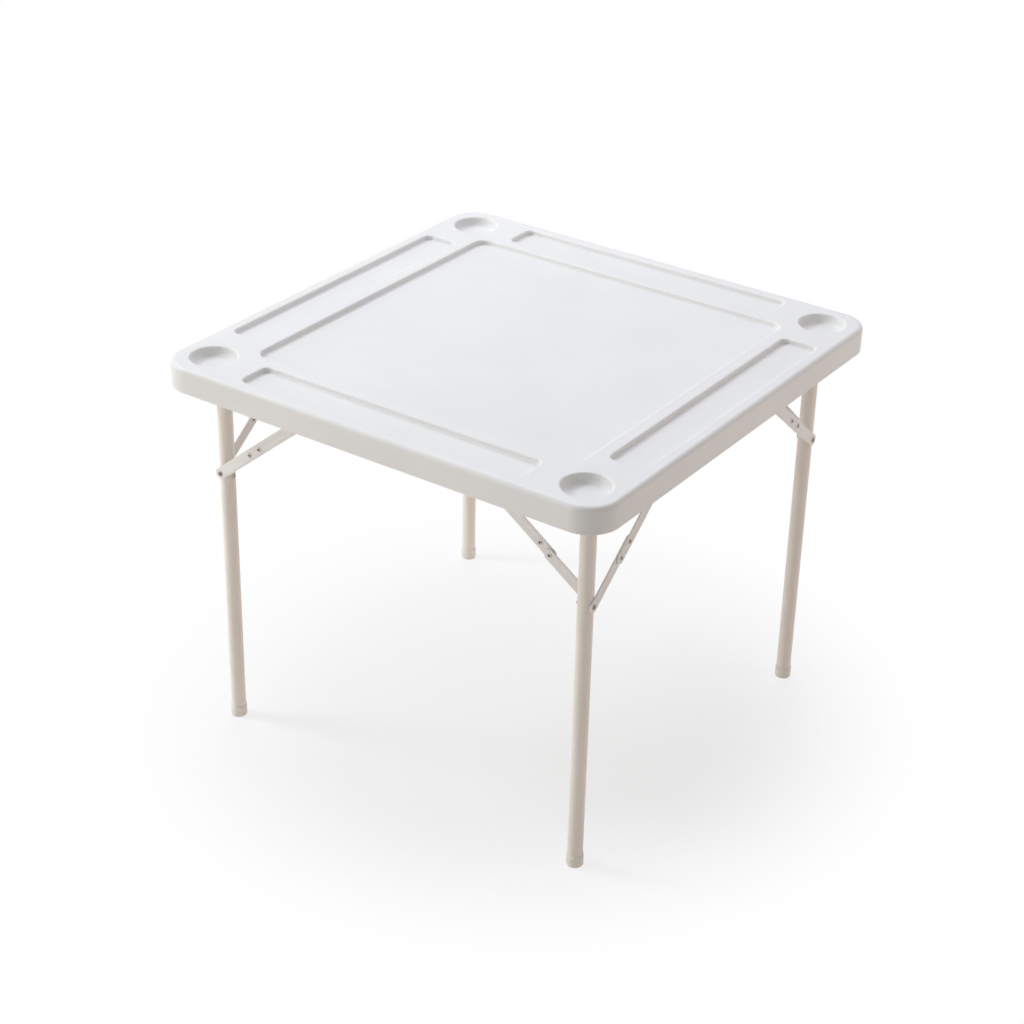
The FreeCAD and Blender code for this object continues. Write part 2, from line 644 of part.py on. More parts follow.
def build_brackets():
    """Angle brackets under the pan, with the pins that carry the upper links."""
    pins = []
    for side in SIDES:
        stem = f"brace_bracket_{side}"
        x = pivot_x(side)
        axis = f"axis_{side}"
        free_edge = "ear_face + bracket_flange"
        flange_low = min(brace_y(side, "ear_face"), brace_y(side, free_edge), key=value)
        flange = box(
            stem + "_flange", "bracket_length", "bracket_flange", "ear_thickness",
            f"{x} - bracket_length / 2", flange_low, "base_bottom - ear_thickness",
        )
        inner, outer = "ear_face", "ear_face + ear_thickness"
        ear_low = min(brace_y(side, inner), brace_y(side, outer), key=value)
        ear = box(
            stem + "_ear", "link_width", "ear_thickness", f"base_bottom - {axis}",
            f"{x} - link_width / 2", ear_low, axis,
        )
        tip = brace_rod(stem + "_tip", side, "link_width / 2", inner, outer, x, axis)
        bore = brace_rod(stem + "_bore", side, "pin_radius + rivet_gap", inner, outer, x, axis)
        holes = [
            rod(
                f"{stem}_hole_{number}", "z", "screw_radius + screw_gap",
                "base_bottom - ear_thickness", "base_bottom",
                f"{x} {sign} bracket_screw_spacing / 2",
                brace_y(side, "ear_face + bracket_flange - bracket_screw_inset"),
            )
            for number, sign in enumerate("-+")
        ]
        keep_pair(stem, cut(stem, fuse(stem + "_plate", [flange, ear, tip]), [bore, *holes]), shift)

        near = "ear_face - head_gap"
        far = "upper_face + link_thickness + head_gap"
        name = f"bracket_pin_{side}"
        shank = brace_rod(name + "_shank", side, "pin_radius", near, far, x, axis)
        near_head = brace_rod(name + "_near", side, "pin_head_radius", f"{near} - pin_head", near, x, axis)
        far_head = brace_rod(name + "_far", side, "pin_head_radius", far, f"{far} + pin_head", x, axis)
        pins.append(fuse(name, [shank, near_head, far_head]))
    keep_group("bracket_pins", pins, shift)


def flat_bar(name, plane, length, holes, turn_axis, turn, x, y, z):
    """A flat bar with round ends and holes along it, turned and set with its first hole at x, y and z."""
    body = doc.addObject("PartDesign::Body", name)
    outline = sketch_on(body, name + "_outline", plane)
    draw_slot(outline, "bar", length, "link_width")
    for number, (distance, radius) in enumerate(holes):
        draw_circle(outline, f"hole_{number}", radius, distance, "0")
    pad(body, outline, "link_thickness", centred=True)
    body.Placement = FreeCAD.Placement(ORIGIN, FreeCAD.Rotation(turn_axis, 1))
    bind(body, Placement__Base__x=x, Placement__Base__y=y, Placement__Base__z=z)
    bind(body, Placement__Rotation__Angle=turn)
    return body


def along_brace(side, distance):
    """X and Z of a point on a brace's line, at a distance from its pin in the leg."""
    x = f"{OUTWARD_X[side]} * (leg_x - ({distance}) * cos(brace_slope_{side}))"
    z = f"brace_pin_height_{side} + ({distance}) * sin(brace_slope_{side})"
    return x, z


def build_braces():
    """Elbow braces: a lower link on the leg and an upper link on the bracket, side by side."""
    for side in SIDES:
        slope = f"brace_slope_{side}"
        leg_pin_x = f"{OUTWARD_X[side]} * leg_x"
        lower_turn = slope if side == "left" else f"{HALF_TURN} deg - {slope}"
        upper_turn = f"{HALF_TURN} deg + {slope}" if side == "left" else f"{FULL_TURN} deg - {slope}"
        turning_hole = "pin_radius + turning_gap"
        fixed_hole = "rivet_radius + rivet_gap"
        lower_end = f"lower_link_{side}"
        elbow = f"upper_link_{side}"
        stud = f"{elbow} + stud_left" if side == "left" else f"{elbow} - stud_right"
        upper_end = stud if side == "left" else elbow
        lower_holes = [("0", turning_hole), (lower_end, fixed_hole)]
        upper_holes = [("0", turning_hole), (elbow, fixed_hole), (stud, fixed_hole)]

        lower = flat_bar(
            f"brace_lower_{side}", "XZ_Plane", lower_end, lower_holes, -Y_AXIS, lower_turn,
            leg_pin_x, brace_y(side, "lower_face + link_thickness / 2"), f"brace_pin_height_{side}",
        )
        upper = flat_bar(
            f"brace_upper_{side}", "XZ_Plane", upper_end, upper_holes, -Y_AXIS, upper_turn,
            pivot_x(side), brace_y(side, "upper_face + link_thickness / 2"), f"axis_{side}",
        )
        keep_pair(f"brace_lower_{side}", lower, shift)
        keep_pair(f"brace_upper_{side}", upper, shift)
        leg_head = ("lower_face - pin_head", "lower_face")
        inner_head = ("upper_face - pin_head", "upper_face")
        free_head = ("upper_face + link_thickness", "upper_face + link_thickness + pin_head")
        stud_heads = [free_head] if side == "left" else [inner_head, free_head]
        stud_place = f"brace_length_{side} - ({stud})"
        lower_shank = ("lower_face", "upper_face - plate_gap")
        upper_shank = ("upper_face", "upper_face + link_thickness")
        upper_rivets = [(lower_end, [free_head]), (stud_place, stud_heads)]
        keep_rivets(f"elbow_rivet_lower_{side}", side, lower_shank, [(lower_end, [leg_head])])
        keep_rivets(f"elbow_rivet_upper_{side}", side, upper_shank, upper_rivets)


def keep_rivets(stem, side, shank, rivets):
    """Rivets in one link of a front brace: each has a distance from the leg's pin and the spans of its heads."""
    solids = []
    for number, (distance, heads) in enumerate(rivets):
        name = f"{stem}_{number}"
        x, z = along_brace(side, distance)
        pieces = [brace_rod(name + "_shank", side, "rivet_radius", *shank, x, z)]
        for place, (low, high) in enumerate(heads):
            pieces.append(brace_rod(f"{name}_head_{place}", side, "rivet_head_radius", low, high, x, z))
        solids.append(fuse(name, pieces))
    keep_pair(stem, group(stem + "_front", solids), shift)


# Leg frames


def build_foot(side):
    """Foot cap of a front leg, a cup with rounded edges."""
    stem = f"foot_{side}"
    body = doc.addObject("PartDesign::Body", stem)
    outline = sketch_on(body, stem + "_outline", "XY_Plane")
    draw_circle(outline, "foot", "foot_radius", "0", "0")
    block = pad(body, outline, "foot_height")
    edges = level_edges(block.Shape, 0) + level_edges(block.Shape, value("foot_height"))
    round_edges(body, stem + "_round", block, edges, "foot_round")
    socket = sketch_on(body, stem + "_socket", "XY_Plane", z="foot_height")
    draw_circle(socket, "socket", "leg_radius + foot_gap", "0", "0")
    pocket(body, socket, "foot_height - foot_floor")
    bind(body, Placement__Base__x=f"{OUTWARD_X[side]} * leg_x", Placement__Base__y="-leg_y")
    keep_pair(stem, body)


def build_leg(side):
    """Front leg tube with its pin holes, and the plug in its upper end."""
    stem = f"leg_{side}"
    x = f"{OUTWARD_X[side]} * leg_x"
    y = "-leg_y"
    top = f"axis_{side} + crossbar_radius"
    reach = "leg_radius + plate_gap"
    tube = rod(stem + "_tube", "z", "leg_radius", "foot_floor", top, x, y)
    bore = rod(stem + "_bore", "z", "leg_radius - tube_wall", "foot_floor", top, x, y)
    hole = "pin_radius + rivet_gap"
    brace_hole = brace_rod(stem + "_brace_hole", side, hole, "0", reach, x, f"brace_pin_height_{side}")
    stiff_hole = rod(
        stem + "_stiff_hole", "x", hole, f"{x} - ({reach})", f"{x} + {reach}", y, f"stiff_pin_height_{side}"
    )
    keep_pair(stem, cut(stem, tube, [bore, brace_hole, stiff_hole]), shift)

    name = f"leg_plug_{side}"
    flange = rod(name + "_flange", "z", "leg_radius", top, f"{top} + plug_flange", x, y)
    stem_radius = "leg_radius - tube_wall - plug_gap"
    inner = rod(name + "_stem", "z", stem_radius, f"{top} - plug_depth", f"{top} + plug_flange / 2", x, y)
    keep_pair(name, fuse(name, [flange, inner]))


def stiff_point(side, distance):
    """Y and Z of a point on a front stiffener's line, at a distance from its pin in the leg."""
    y = f"-leg_y + ({distance}) * cos(stiff_slope_{side})"
    z = f"stiff_pin_height_{side} + ({distance}) * sin(stiff_slope_{side})"
    return y, z


def outward_x(side, distance):
    """X at a distance outside a leg's axis."""
    return f"({OUTWARD_X[side]} * (leg_x + {distance}))"


def frame_rod(name, side, radius, start, end, y, z):
    """A round bar along X between two distances outside the plane of a frame."""
    low, high = sorted((start, end), key=lambda edge: value(outward_x(side, edge)))
    return rod(name, "x", radius, outward_x(side, low), outward_x(side, high), y, z)


def build_crossbar(side):
    """Crossbar on the folding axis, coped to the legs, with holes for the stiffeners' pins."""
    stem = f"crossbar_{side}"
    x = f"{OUTWARD_X[side]} * leg_x"
    axis = f"axis_{side}"
    bar = rod(stem + "_bar", "y", "crossbar_radius", "-leg_y", "leg_y", x, axis)
    bore = rod(stem + "_bore", "y", "crossbar_radius - tube_wall", "-leg_y", "leg_y", x, axis)
    low, high = f"{axis} - 2 * crossbar_radius", f"{axis} + 2 * crossbar_radius"
    tools = [bore]
    for end, sign in (("front", "-"), ("back", "")):
        tools.append(rod(f"{stem}_cope_{end}", "z", "leg_radius + weld_gap", low, high, x, f"{sign}leg_y"))
        y = f"{sign}(leg_y - stiff_reach_{side})"
        hole_name = f"{stem}_hole_{end}"
        reach = "crossbar_radius + plate_gap"
        hole = frame_rod(hole_name, side, "pin_radius + rivet_gap", f"(-({reach}))", f"({reach})", y, axis)
        tools.append(hole)
    keep(stem, cut(stem, bar, tools))


def headed_pin(name, side, y, z, radius, near, far, collar=None):
    """A pin through a frame with a head at each end, and a spacer between two distances where it has one."""
    near_end = f"({near} - pin_head)"
    far_end = f"({far} + pin_head)"
    pieces = [
        frame_rod(name + "_shank", side, "pin_radius", near, far, y, z),
        frame_rod(name + "_near", side, radius, near_end, near, y, z),
        frame_rod(name + "_far", side, radius, far, far_end, y, z),
    ]
    if collar:
        pieces.append(frame_rod(name + "_collar", side, "collar_radius", *collar, y, z))
    return fuse(name, pieces)


def build_stiffeners(side):
    """Two-piece bars that stiffen a frame from each leg to its crossbar, with their rivets and pins."""
    slope = f"stiff_slope_{side}"
    pin_hole = "pin_radius + rivet_gap"
    rivet_hole = "rivet_radius + rivet_gap"
    length = f"stiff_length_{side}"
    rivet_places = [f"stiff_rivet_low_{side}", f"stiff_rivet_high_{side}"]
    lower_holes = [("0", pin_hole), *((place, rivet_hole) for place in rivet_places)]
    from_bar = [f"{length} - {place}" for place in reversed(rivet_places)]
    upper_holes = [("0", pin_hole), *((place, rivet_hole) for place in from_bar)]
    top_y, top_z = stiff_point(side, length)
    lower = flat_bar(
        f"stiffener_lower_{side}", "YZ_Plane", lower_holes[-1][0], lower_holes, X_AXIS, slope,
        outward_x(side, "stiff_lower_face + link_thickness / 2"), "-leg_y", f"stiff_pin_height_{side}",
    )
    upper = flat_bar(
        f"stiffener_upper_{side}", "YZ_Plane", upper_holes[-1][0], upper_holes, X_AXIS,
        f"{HALF_TURN} deg + {slope}",
        outward_x(side, "stiff_upper_face + link_thickness / 2"), top_y, top_z,
    )
    keep_pair(f"stiffener_lower_{side}", lower)
    keep_pair(f"stiffener_upper_{side}", upper)

    stem = f"stiffener_rivets_{side}"
    outer = "stiff_upper_face + link_thickness"
    rivets = []
    for distance in rivet_places:
        y, z = stiff_point(side, distance)
        name = f"{stem}_{distance}"
        shank = frame_rod(name + "_shank", side, "rivet_radius", "stiff_lower_face", outer, y, z)
        near = frame_rod(
            name + "_near", side, "rivet_head_radius", "stiff_lower_face - pin_head", "stiff_lower_face", y, z
        )
        far = frame_rod(name + "_far", side, "rivet_head_radius", outer, f"{outer} + pin_head", y, z)
        rivets.append(fuse(name, [shank, near, far]))
    leg_pin = headed_pin(
        stem + "_leg_pin", side, "-leg_y", f"stiff_pin_height_{side}", "pin_head_radius",
        "(-(leg_radius + head_gap))", "(stiff_lower_face + link_thickness + head_gap)",
    )
    bar_pin = headed_pin(
        stem + "_bar_pin", side, top_y, top_z, "pin_head_radius",
        "(-(crossbar_radius + head_gap))", f"({outer} + head_gap)",
        collar=("(crossbar_radius + head_gap)", "(stiff_upper_face - rivet_gap)"),
    )
    keep_group(stem, [*rivets, leg_pin, bar_pin])


def build_brace_pins(side):
    """Blind pins in the legs' walls on which the lower links turn, with the spacers beside the legs."""
    stem = f"brace_pins_{side}"
    x = f"{OUTWARD_X[side]} * leg_x"
    z = f"brace_pin_height_{side}"
    near = "blind_seat"
    far = "(lower_face + link_thickness + head_gap)"
    collar_start, collar_end = "leg_radius + head_gap", "lower_face - head_gap"
    pieces = [
        brace_rod(stem + "_shank", side, "pin_radius", near, far, x, z),
        brace_rod(stem + "_near", side, "pin_head_radius", f"{near} - pin_head", near, x, z),
        brace_rod(stem + "_far", side, "pin_head_radius", far, f"{far} + pin_head", x, z),
        brace_rod(stem + "_collar", side, "collar_radius", collar_start, collar_end, x, z),
    ]
    keep_group(stem, [fuse(stem + "_front", pieces)], shift)


def check_document():
    """Stop if any object failed or any sub-part's shape is missing or broken."""
    for thing in doc.Objects:
        if "Invalid" in thing.State or "Error" in thing.State:
            raise RuntimeError(f"{thing.Name} failed: {thing.State}")
    for label, thing in nodes.items():
        if thing.Shape.isNull() or not thing.Shape.isValid() or not thing.Shape.Solids:
            raise RuntimeError(f"{label} has no valid shape")


def write_parts():
    """Write each sub-part to its own file."""
    os.makedirs("parts", exist_ok=True)
    for label, thing in nodes.items():
        thing.Shape.exportStep(os.path.join("parts", label + ".step"))


build_top_shell()
build_base_shell()
build_screws("shell_screws", shell_screw_places(), "base_bottom", "table_height - skin - tip_gap")
build_saddles()
build_screws("saddle_screws", saddle_screw_places(), "base_bottom - saddle_plate", "screw_tip")
build_brackets()
build_screws("bracket_screws", bracket_screw_places(), "base_bottom - ear_thickness", "screw_tip", shift)
for frame_side in SIDES:
    build_leg(frame_side)
    build_foot(frame_side)
    build_crossbar(frame_side)
    build_brace_pins(frame_side)
    build_stiffeners(frame_side)
build_braces()
doc.recompute()
check_document()
write_parts()
print(len(nodes), "sub-parts written")
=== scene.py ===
"""Folding game table: finishes, small hardware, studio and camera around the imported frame.

Metres, +Z up. The frame's own axes are kept: X runs across the folding axes and the front faces -Y.
"""

import json
import logging
import math
from dataclasses import dataclass
from enum import Enum, StrEnum
from typing import Any, Sequence

import bmesh
import bpy
from bpy.types import Material, Mesh, Object
from mathutils import Matrix, Vector

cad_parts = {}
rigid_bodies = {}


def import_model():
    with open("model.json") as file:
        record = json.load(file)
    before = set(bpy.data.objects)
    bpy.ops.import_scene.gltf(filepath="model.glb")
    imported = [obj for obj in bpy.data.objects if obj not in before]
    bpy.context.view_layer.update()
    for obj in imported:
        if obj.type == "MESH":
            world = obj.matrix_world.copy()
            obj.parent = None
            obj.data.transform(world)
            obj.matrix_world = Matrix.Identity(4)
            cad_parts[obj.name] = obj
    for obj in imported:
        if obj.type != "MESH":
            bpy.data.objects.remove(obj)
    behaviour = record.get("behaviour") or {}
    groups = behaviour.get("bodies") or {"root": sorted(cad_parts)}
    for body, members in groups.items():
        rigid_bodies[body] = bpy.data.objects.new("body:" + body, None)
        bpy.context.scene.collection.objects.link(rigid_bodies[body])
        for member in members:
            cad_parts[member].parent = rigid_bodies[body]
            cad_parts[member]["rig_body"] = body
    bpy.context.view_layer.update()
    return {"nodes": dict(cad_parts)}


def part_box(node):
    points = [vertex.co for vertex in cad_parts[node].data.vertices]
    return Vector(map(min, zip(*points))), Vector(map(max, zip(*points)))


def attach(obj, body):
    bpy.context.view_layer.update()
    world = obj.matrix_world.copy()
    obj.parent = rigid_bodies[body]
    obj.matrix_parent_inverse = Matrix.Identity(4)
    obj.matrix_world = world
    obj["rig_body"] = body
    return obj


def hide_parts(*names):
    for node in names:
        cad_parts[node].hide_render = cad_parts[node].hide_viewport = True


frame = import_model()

log = logging.getLogger("table")

Colour = tuple[float, float, float, float]
Profile = list[tuple[float, float]]

MM = 0.001
WELD_DISTANCE = 1e-6
SAME_SIZE = 2e-5
READ_DIGITS = 5
FLAT_ANGLE = math.radians(1)
SHARP_ANGLE = math.radians(35)
EASE_SEGMENTS = 2
EASE_PROFILE = 0.6
POCKET = "pocket"
WHITE: Colour = (1.0, 1.0, 1.0, 1.0)
IMAGE_PIXELS = 1024
SENSOR_WIDTH = 36.0


class Side(StrEnum):
    """The two leg frames."""

    LEFT = "left"
    RIGHT = "right"


class End(StrEnum):
    """The two ends of a leg frame."""

    FRONT = "front"
    BACK = "back"


class Slot(Enum):
    """The record's material slots, passed along with the new pieces."""

    PAINT = "powder_coat"
    ZINC = "zinc"
    FOOT = "foot_plastic"
    SADDLE = "saddle_plastic"


class Axis(Enum):
    """The direction that a turned piece lies along."""

    X = 0
    Y = 1
    Z = 2

    def direction(self) -> Vector:
        """The unit vector of the axis."""
        return Vector([float(index == self.value) for index in range(3)])


def srgb(red: int, green: int, blue: int) -> Colour:
    """A display colour as the linear values that shaders take.

    Args:
        red: Red, 0 to 255.
        green: Green, 0 to 255.
        blue: Blue, 0 to 255.

    Returns:
        The linear colour with full alpha.
    """

    def linear(channel: int) -> float:
        """One channel made linear."""
        share = channel / 255
        return share / 12.92 if share <= 0.04045 else ((share + 0.055) / 1.055) ** 2.4

    return linear(red), linear(green), linear(blue), 1.0


# Node trees


class Signal:
    """A node's output that takes part in Python arithmetic."""

    def __init__(self, graph: "NodeGraph", socket: bpy.types.NodeSocket) -> None:
        """Wrap an output socket of a graph."""
        self.graph = graph
        self.socket = socket

    def _math(self, operation: str, first: "Signal | float", second: "Signal | float") -> "Signal":
        """A Math node on two operands."""
        return self.graph.node("ShaderNodeMath", {"operation": operation}, {0: first, 1: second})

    def __add__(self, other: "Signal | float") -> "Signal":
        """Sum."""
        return self._math("ADD", self, other)

    def __radd__(self, other: float) -> "Signal":
        """Sum with a number first."""
        return self._math("ADD", other, self)

    def __sub__(self, other: "Signal | float") -> "Signal":
        """Difference."""
        return self._math("SUBTRACT", self, other)

    def __rsub__(self, other: float) -> "Signal":
        """Difference with a number first."""
        return self._math("SUBTRACT", other, self)

    def __mul__(self, other: "Signal | float") -> "Signal":
        """Product."""
        return self._math("MULTIPLY", self, other)

    def __rmul__(self, other: float) -> "Signal":
        """Product with a number first."""
        return self._math("MULTIPLY", other, self)

    def most(self, other: "Signal | float") -> "Signal":
        """The larger of two values."""
        return self._math("MAXIMUM", self, other)

    def least(self, other: "Signal | float") -> "Signal":
        """The smaller of two values."""
        return self._math("MINIMUM", self, other)

    def size(self) -> "Signal":
        """The value without its sign."""
        return self._math("ABSOLUTE", self, 0.0)

    def rise(self, low: float, high: float) -> "Signal":
        """A smooth rise from 0 at low to 1 at high."""
        return self.graph.node(
            "ShaderNodeMapRange",
            {"interpolation_type": "SMOOTHSTEP"},
            {"Value": self, "From Min": low, "From Max": high},
        )


class NodeGraph:
    """A node tree filled in code."""

    def __init__(self, tree: bpy.types.NodeTree) -> None:
        """Start with an empty tree."""
        self.tree = tree
        self.tree.nodes.clear()

    def node(
        self,
        kind: str,
        settings: dict[str, Any] | None = None,
        inputs: dict[int | str, Any] | None = None,
        output: int | str = 0,
    ) -> Signal:
        """Add a node.

        Args:
            kind: The node's type.
            settings: Properties of the node, set first.
            inputs: Values or signals by socket name or number.
            output: The output to return.

        Returns:
            The chosen output, or a wrapped None where the node has no outputs.
        """
        added = self.tree.nodes.new(kind)
        for name, setting in (settings or {}).items():
            setattr(added, name, setting)
        for key, value in (inputs or {}).items():
            if isinstance(value, Signal):
                self.tree.links.new(value.socket, added.inputs[key])
            else:
                added.inputs[key].default_value = value
        return Signal(self, added.outputs[output] if len(added.outputs) else None)

    def blend(self, share: Signal | float, first: Signal | Colour, second: Signal | Colour) -> Signal:
        """Two colours mixed, from the first at share 0 to the second at share 1."""
        return self.node("ShaderNodeMix", {"data_type": "RGBA"}, {0: share, 6: first, 7: second}, output=2)

    def noise(self, place: Signal, scale: float, detail: float = 2.0) -> Signal:
        """Smooth noise from 0 to 1 with a number of features to the metre."""
        return self.node("ShaderNodeTexNoise", None, {"Vector": place, "Scale": scale, "Detail": detail})

    def stretched(self, place: Signal, scale: Vector, turn: float) -> Signal:
        """A place turned about Z and stretched, for marks that run one way."""
        return self.node(
            "ShaderNodeMapping", None, {"Vector": place, "Rotation": (0, 0, turn), "Scale": scale}
        )

    def place(self) -> Signal:
        """The piece's own coordinates."""
        return self.node("ShaderNodeTexCoord", output="Object")

    def part(self, place: Signal, axis: str) -> Signal:
        """One coordinate of a place."""
        return self.node("ShaderNodeSeparateXYZ", None, {0: place}, output=axis)

    def bump(self, height: Signal, distance: float, strength: float) -> Signal:
        """A normal that follows a height, full height being a distance in metres."""
        return self.node(
            "ShaderNodeBump", None, {"Strength": strength, "Distance": distance, "Height": height}
        )

    def surface(self, sockets: dict[int | str, Any]) -> None:
        """End a material with one Principled shader."""
        shader = self.node("ShaderNodeBsdfPrincipled", None, sockets)
        self.node("ShaderNodeOutputMaterial", None, {"Surface": shader})


def new_material(name: str) -> tuple[Material, NodeGraph]:
    """An empty node material.

    Args:
        name: The material's name.

    Returns:
        The material and its graph.
    """
    material = bpy.data.materials.new(name)
    material.use_nodes = True
    return material, NodeGraph(material.node_tree)


# Finishes


@dataclass(frozen=True)
class MouldedPlastic:
    """Satin moulded plastic with a fine pebble grain and faint scuffs."""

    name: str
    colour: Colour
    shade: Colour
    roughness: float
    grain: float
    relief: float
    scuffs: float
    rubbed_reach: float | None = None

    # Features to the metre; scuffs also have a turn about Z
    CLOUDS = 5.0
    SPECKLES = 420.0
    PATCHES = 9.0
    SCUFF_LINES = ((Vector((240.0, 5.0, 40.0)), 0.5), (Vector((5.0, 200.0, 40.0)), -0.25))

    # Shares in the tone and in the roughness
    CLOUD_TONE = 0.7
    SPECKLE_TONE = 0.3
    SCUFF_TONE = 0.35
    CLOUD_GLOSS = 0.08
    SPECKLE_GLOSS = 0.06
    SCUFF_GLOSS = 0.12
    RUBBED_GLOSS = 0.1

    # The grain's relief, with a wider swell under it
    BUMP = 0.35
    SWELL = 0.8
    SWELL_SCALE = 0.35
    RUBBED_BAND = 0.012

    def material(self) -> Material:
        """Build the finish.

        Returns:
            The node material.
        """
        material, graph = new_material(self.name)
        place = graph.place()
        cloud = graph.noise(place, self.CLOUDS, detail=4.0).rise(low=0.3, high=0.75)
        speckle = graph.noise(place, self.SPECKLES, detail=3.0)
        mottle = cloud * self.CLOUD_TONE + speckle * self.SPECKLE_TONE
        tone = graph.blend(mottle, self.colour, self.shade)
        first, second = (self._scuff(graph, place, *line) for line in self.SCUFF_LINES)
        marks = first.most(second) * self.scuffs
        tone = graph.blend(marks * self.SCUFF_TONE, tone, self.shade)
        start = self.roughness - (self.CLOUD_GLOSS + self.SPECKLE_GLOSS) / 2
        roughness = cloud * self.CLOUD_GLOSS + speckle * self.SPECKLE_GLOSS
        roughness = roughness + marks * self.SCUFF_GLOSS + start
        if self.rubbed_reach is not None:
            roughness = roughness - self._rubbed(graph, place) * self.RUBBED_GLOSS
        pebble = graph.node(
            "ShaderNodeTexVoronoi", {"feature": "SMOOTH_F1"},
            {"Vector": place, "Scale": self.grain, "Smoothness": 0.6, "Randomness": 1.0},
            output="Distance",
        )
        height = pebble + graph.noise(place, self.grain * self.SWELL_SCALE) * self.SWELL
        normal = graph.bump(height, self.relief, self.BUMP)
        graph.surface({"Base Color": tone, "Roughness": roughness, "Normal": normal, "IOR": 1.5})
        return material

    def _scuff(self, graph: NodeGraph, place: Signal, scale: Vector, turn: float) -> Signal:
        """Sparse hairline marks that run one way."""
        line = graph.noise(graph.stretched(place, scale, turn), 1.0, detail=1.0)
        return line.rise(low=0.70, high=0.76) * graph.noise(place, self.PATCHES).rise(low=0.5, high=0.7)

    def _rubbed(self, graph: NodeGraph, place: Signal) -> Signal:
        """The band along the edge of the top that hands keep smooth."""
        across, along = (graph.part(place, axis).size() for axis in ("X", "Y"))
        return across.most(along).rise(self.rubbed_reach - self.RUBBED_BAND, self.rubbed_reach)


@dataclass(frozen=True)
class PowderCoat:
    """Sprayed powder paint on steel, with the slight orange peel of the baked coat."""

    name: str
    colour: Colour
    shade: Colour
    roughness: float
    peel: float
    relief: float

    # Features to the metre
    CLOUDS = 9.0
    SPECKS = 1600.0

    # Shares in the tone and in the roughness, and what the latter add on average
    CLOUD_TONE = 0.6
    SPECK_TONE = 0.25
    CLOUD_GLOSS = 0.08
    SPECK_GLOSS = 0.1
    GLOSS_MEAN = 0.05
    BUMP = 0.3

    def material(self) -> Material:
        """Build the finish.

        Returns:
            The node material.
        """
        material, graph = new_material(self.name)
        place = graph.place()
        cloud = graph.noise(place, self.CLOUDS, detail=3.0).rise(low=0.3, high=0.7)
        speck = graph.noise(place, self.SPECKS).rise(low=0.62, high=0.72)
        mottle = cloud * self.CLOUD_TONE + speck * self.SPECK_TONE
        tone = graph.blend(mottle, self.colour, self.shade)
        normal = graph.bump(graph.noise(place, self.peel, detail=3.0), self.relief, self.BUMP)
        roughness = cloud * self.CLOUD_GLOSS + speck * self.SPECK_GLOSS
        roughness = roughness + (self.roughness - self.GLOSS_MEAN)
        graph.surface({"Base Color": tone, "Roughness": roughness, "Normal": normal, "IOR": 1.5})
        return material


@dataclass(frozen=True)
class ZincPlate:
    """Zinc-plated steel, cloudy and a little brushed, with painted shade in its pockets."""

    name: str
    colour: Colour
    shade: Colour
    roughness: float
    grime: Colour

    # Features to the metre
    CLOUDS = 650.0
    BRUSHING = Vector((300.0, 300.0, 6000.0))

    # Shares in the roughness, and what they add on average
    CLOUD_GLOSS = 0.15
    BRUSH_GLOSS = 0.1
    POCKET_GLOSS = 0.3
    GLOSS_MEAN = 0.12

    BUMP = 0.2
    BRUSH_DEPTH = 0.03 * MM

    def material(self) -> Material:
        """Build the finish.

        Returns:
            The node material.
        """
        material, graph = new_material(self.name)
        place = graph.place()
        pocket = graph.node("ShaderNodeAttribute", {"attribute_name": POCKET}, output="Fac")
        cloud = graph.noise(place, self.CLOUDS, detail=3.0).rise(low=0.3, high=0.7)
        brush = graph.noise(graph.stretched(place, self.BRUSHING, turn=0.0), 1.0)
        # Painted shade: the pockets are blended to the finish's darkest colour and, in the shader below,
        # made non-metallic, to stand for the shade inside the hollows.
        tone = graph.blend(pocket, graph.blend(cloud, self.colour, self.shade), self.grime)
        roughness = cloud * self.CLOUD_GLOSS + brush * self.BRUSH_GLOSS + pocket * self.POCKET_GLOSS
        roughness = roughness + (self.roughness - self.GLOSS_MEAN)
        normal = graph.bump(brush, self.BRUSH_DEPTH, self.BUMP)
        graph.surface(
            {"Base Color": tone, "Metallic": 1.0 - pocket, "Roughness": roughness, "Normal": normal}
        )
        return material


class Finishes:
    """The materials of the table, one for each finish."""

    def __init__(self) -> None:
        """Build every material once."""
        self.top = MouldedPlastic(
            "satin_white_top", srgb(236, 235, 232), srgb(230, 229, 226),
            roughness=0.46, grain=900.0, relief=0.12 * MM, scuffs=0.5, rubbed_reach=0.428,
        ).material()
        self.pan = MouldedPlastic(
            "matt_white_pan", srgb(226, 226, 226), srgb(216, 216, 216),
            roughness=0.58, grain=500.0, relief=0.2 * MM, scuffs=0.3,
        ).material()
        self.saddle = MouldedPlastic(
            "moulded_saddle", srgb(220, 219, 217), srgb(208, 207, 205),
            roughness=0.5, grain=1200.0, relief=0.1 * MM, scuffs=0.2,
        ).material()
        self.foot = MouldedPlastic(
            "soft_grey_foot", srgb(240, 236, 228), srgb(233, 228, 219),
            roughness=0.55, grain=1500.0, relief=0.1 * MM, scuffs=0.6,
        ).material()
        self.paint = PowderCoat(
            "cream_powder_coat", srgb(241, 234, 225), srgb(234, 226, 216),
            roughness=0.4, peel=900.0, relief=0.06 * MM,
        ).material()
        self.plate = PowderCoat(
            "grey_cream_powder_coat", srgb(237, 235, 231), srgb(230, 227, 222),
            roughness=0.44, peel=900.0, relief=0.06 * MM,
        ).material()
        # The last colour of each zinc finish is painted shade for the pockets of the heads.
        self.zinc = ZincPlate(
            "dull_zinc", srgb(156, 152, 147), srgb(120, 117, 113), roughness=0.42, grime=srgb(70, 66, 62)
        ).material()
        self.pale_zinc = ZincPlate(
            "pale_zinc", srgb(196, 191, 184), srgb(176, 171, 164), roughness=0.5, grime=srgb(44, 41, 38)
        ).material()


# Meshes


def node_copy(node: str) -> bmesh.types.BMesh:
    """A CAD node's mesh with its loose triangles joined.

    Args:
        node: The node's name.

    Returns:
        The copy, to be worked on.
    """
    mesh = bmesh.new()
    mesh.from_mesh(frame["nodes"][node].data)
    bmesh.ops.remove_doubles(mesh, verts=mesh.verts, dist=WELD_DISTANCE)
    return mesh


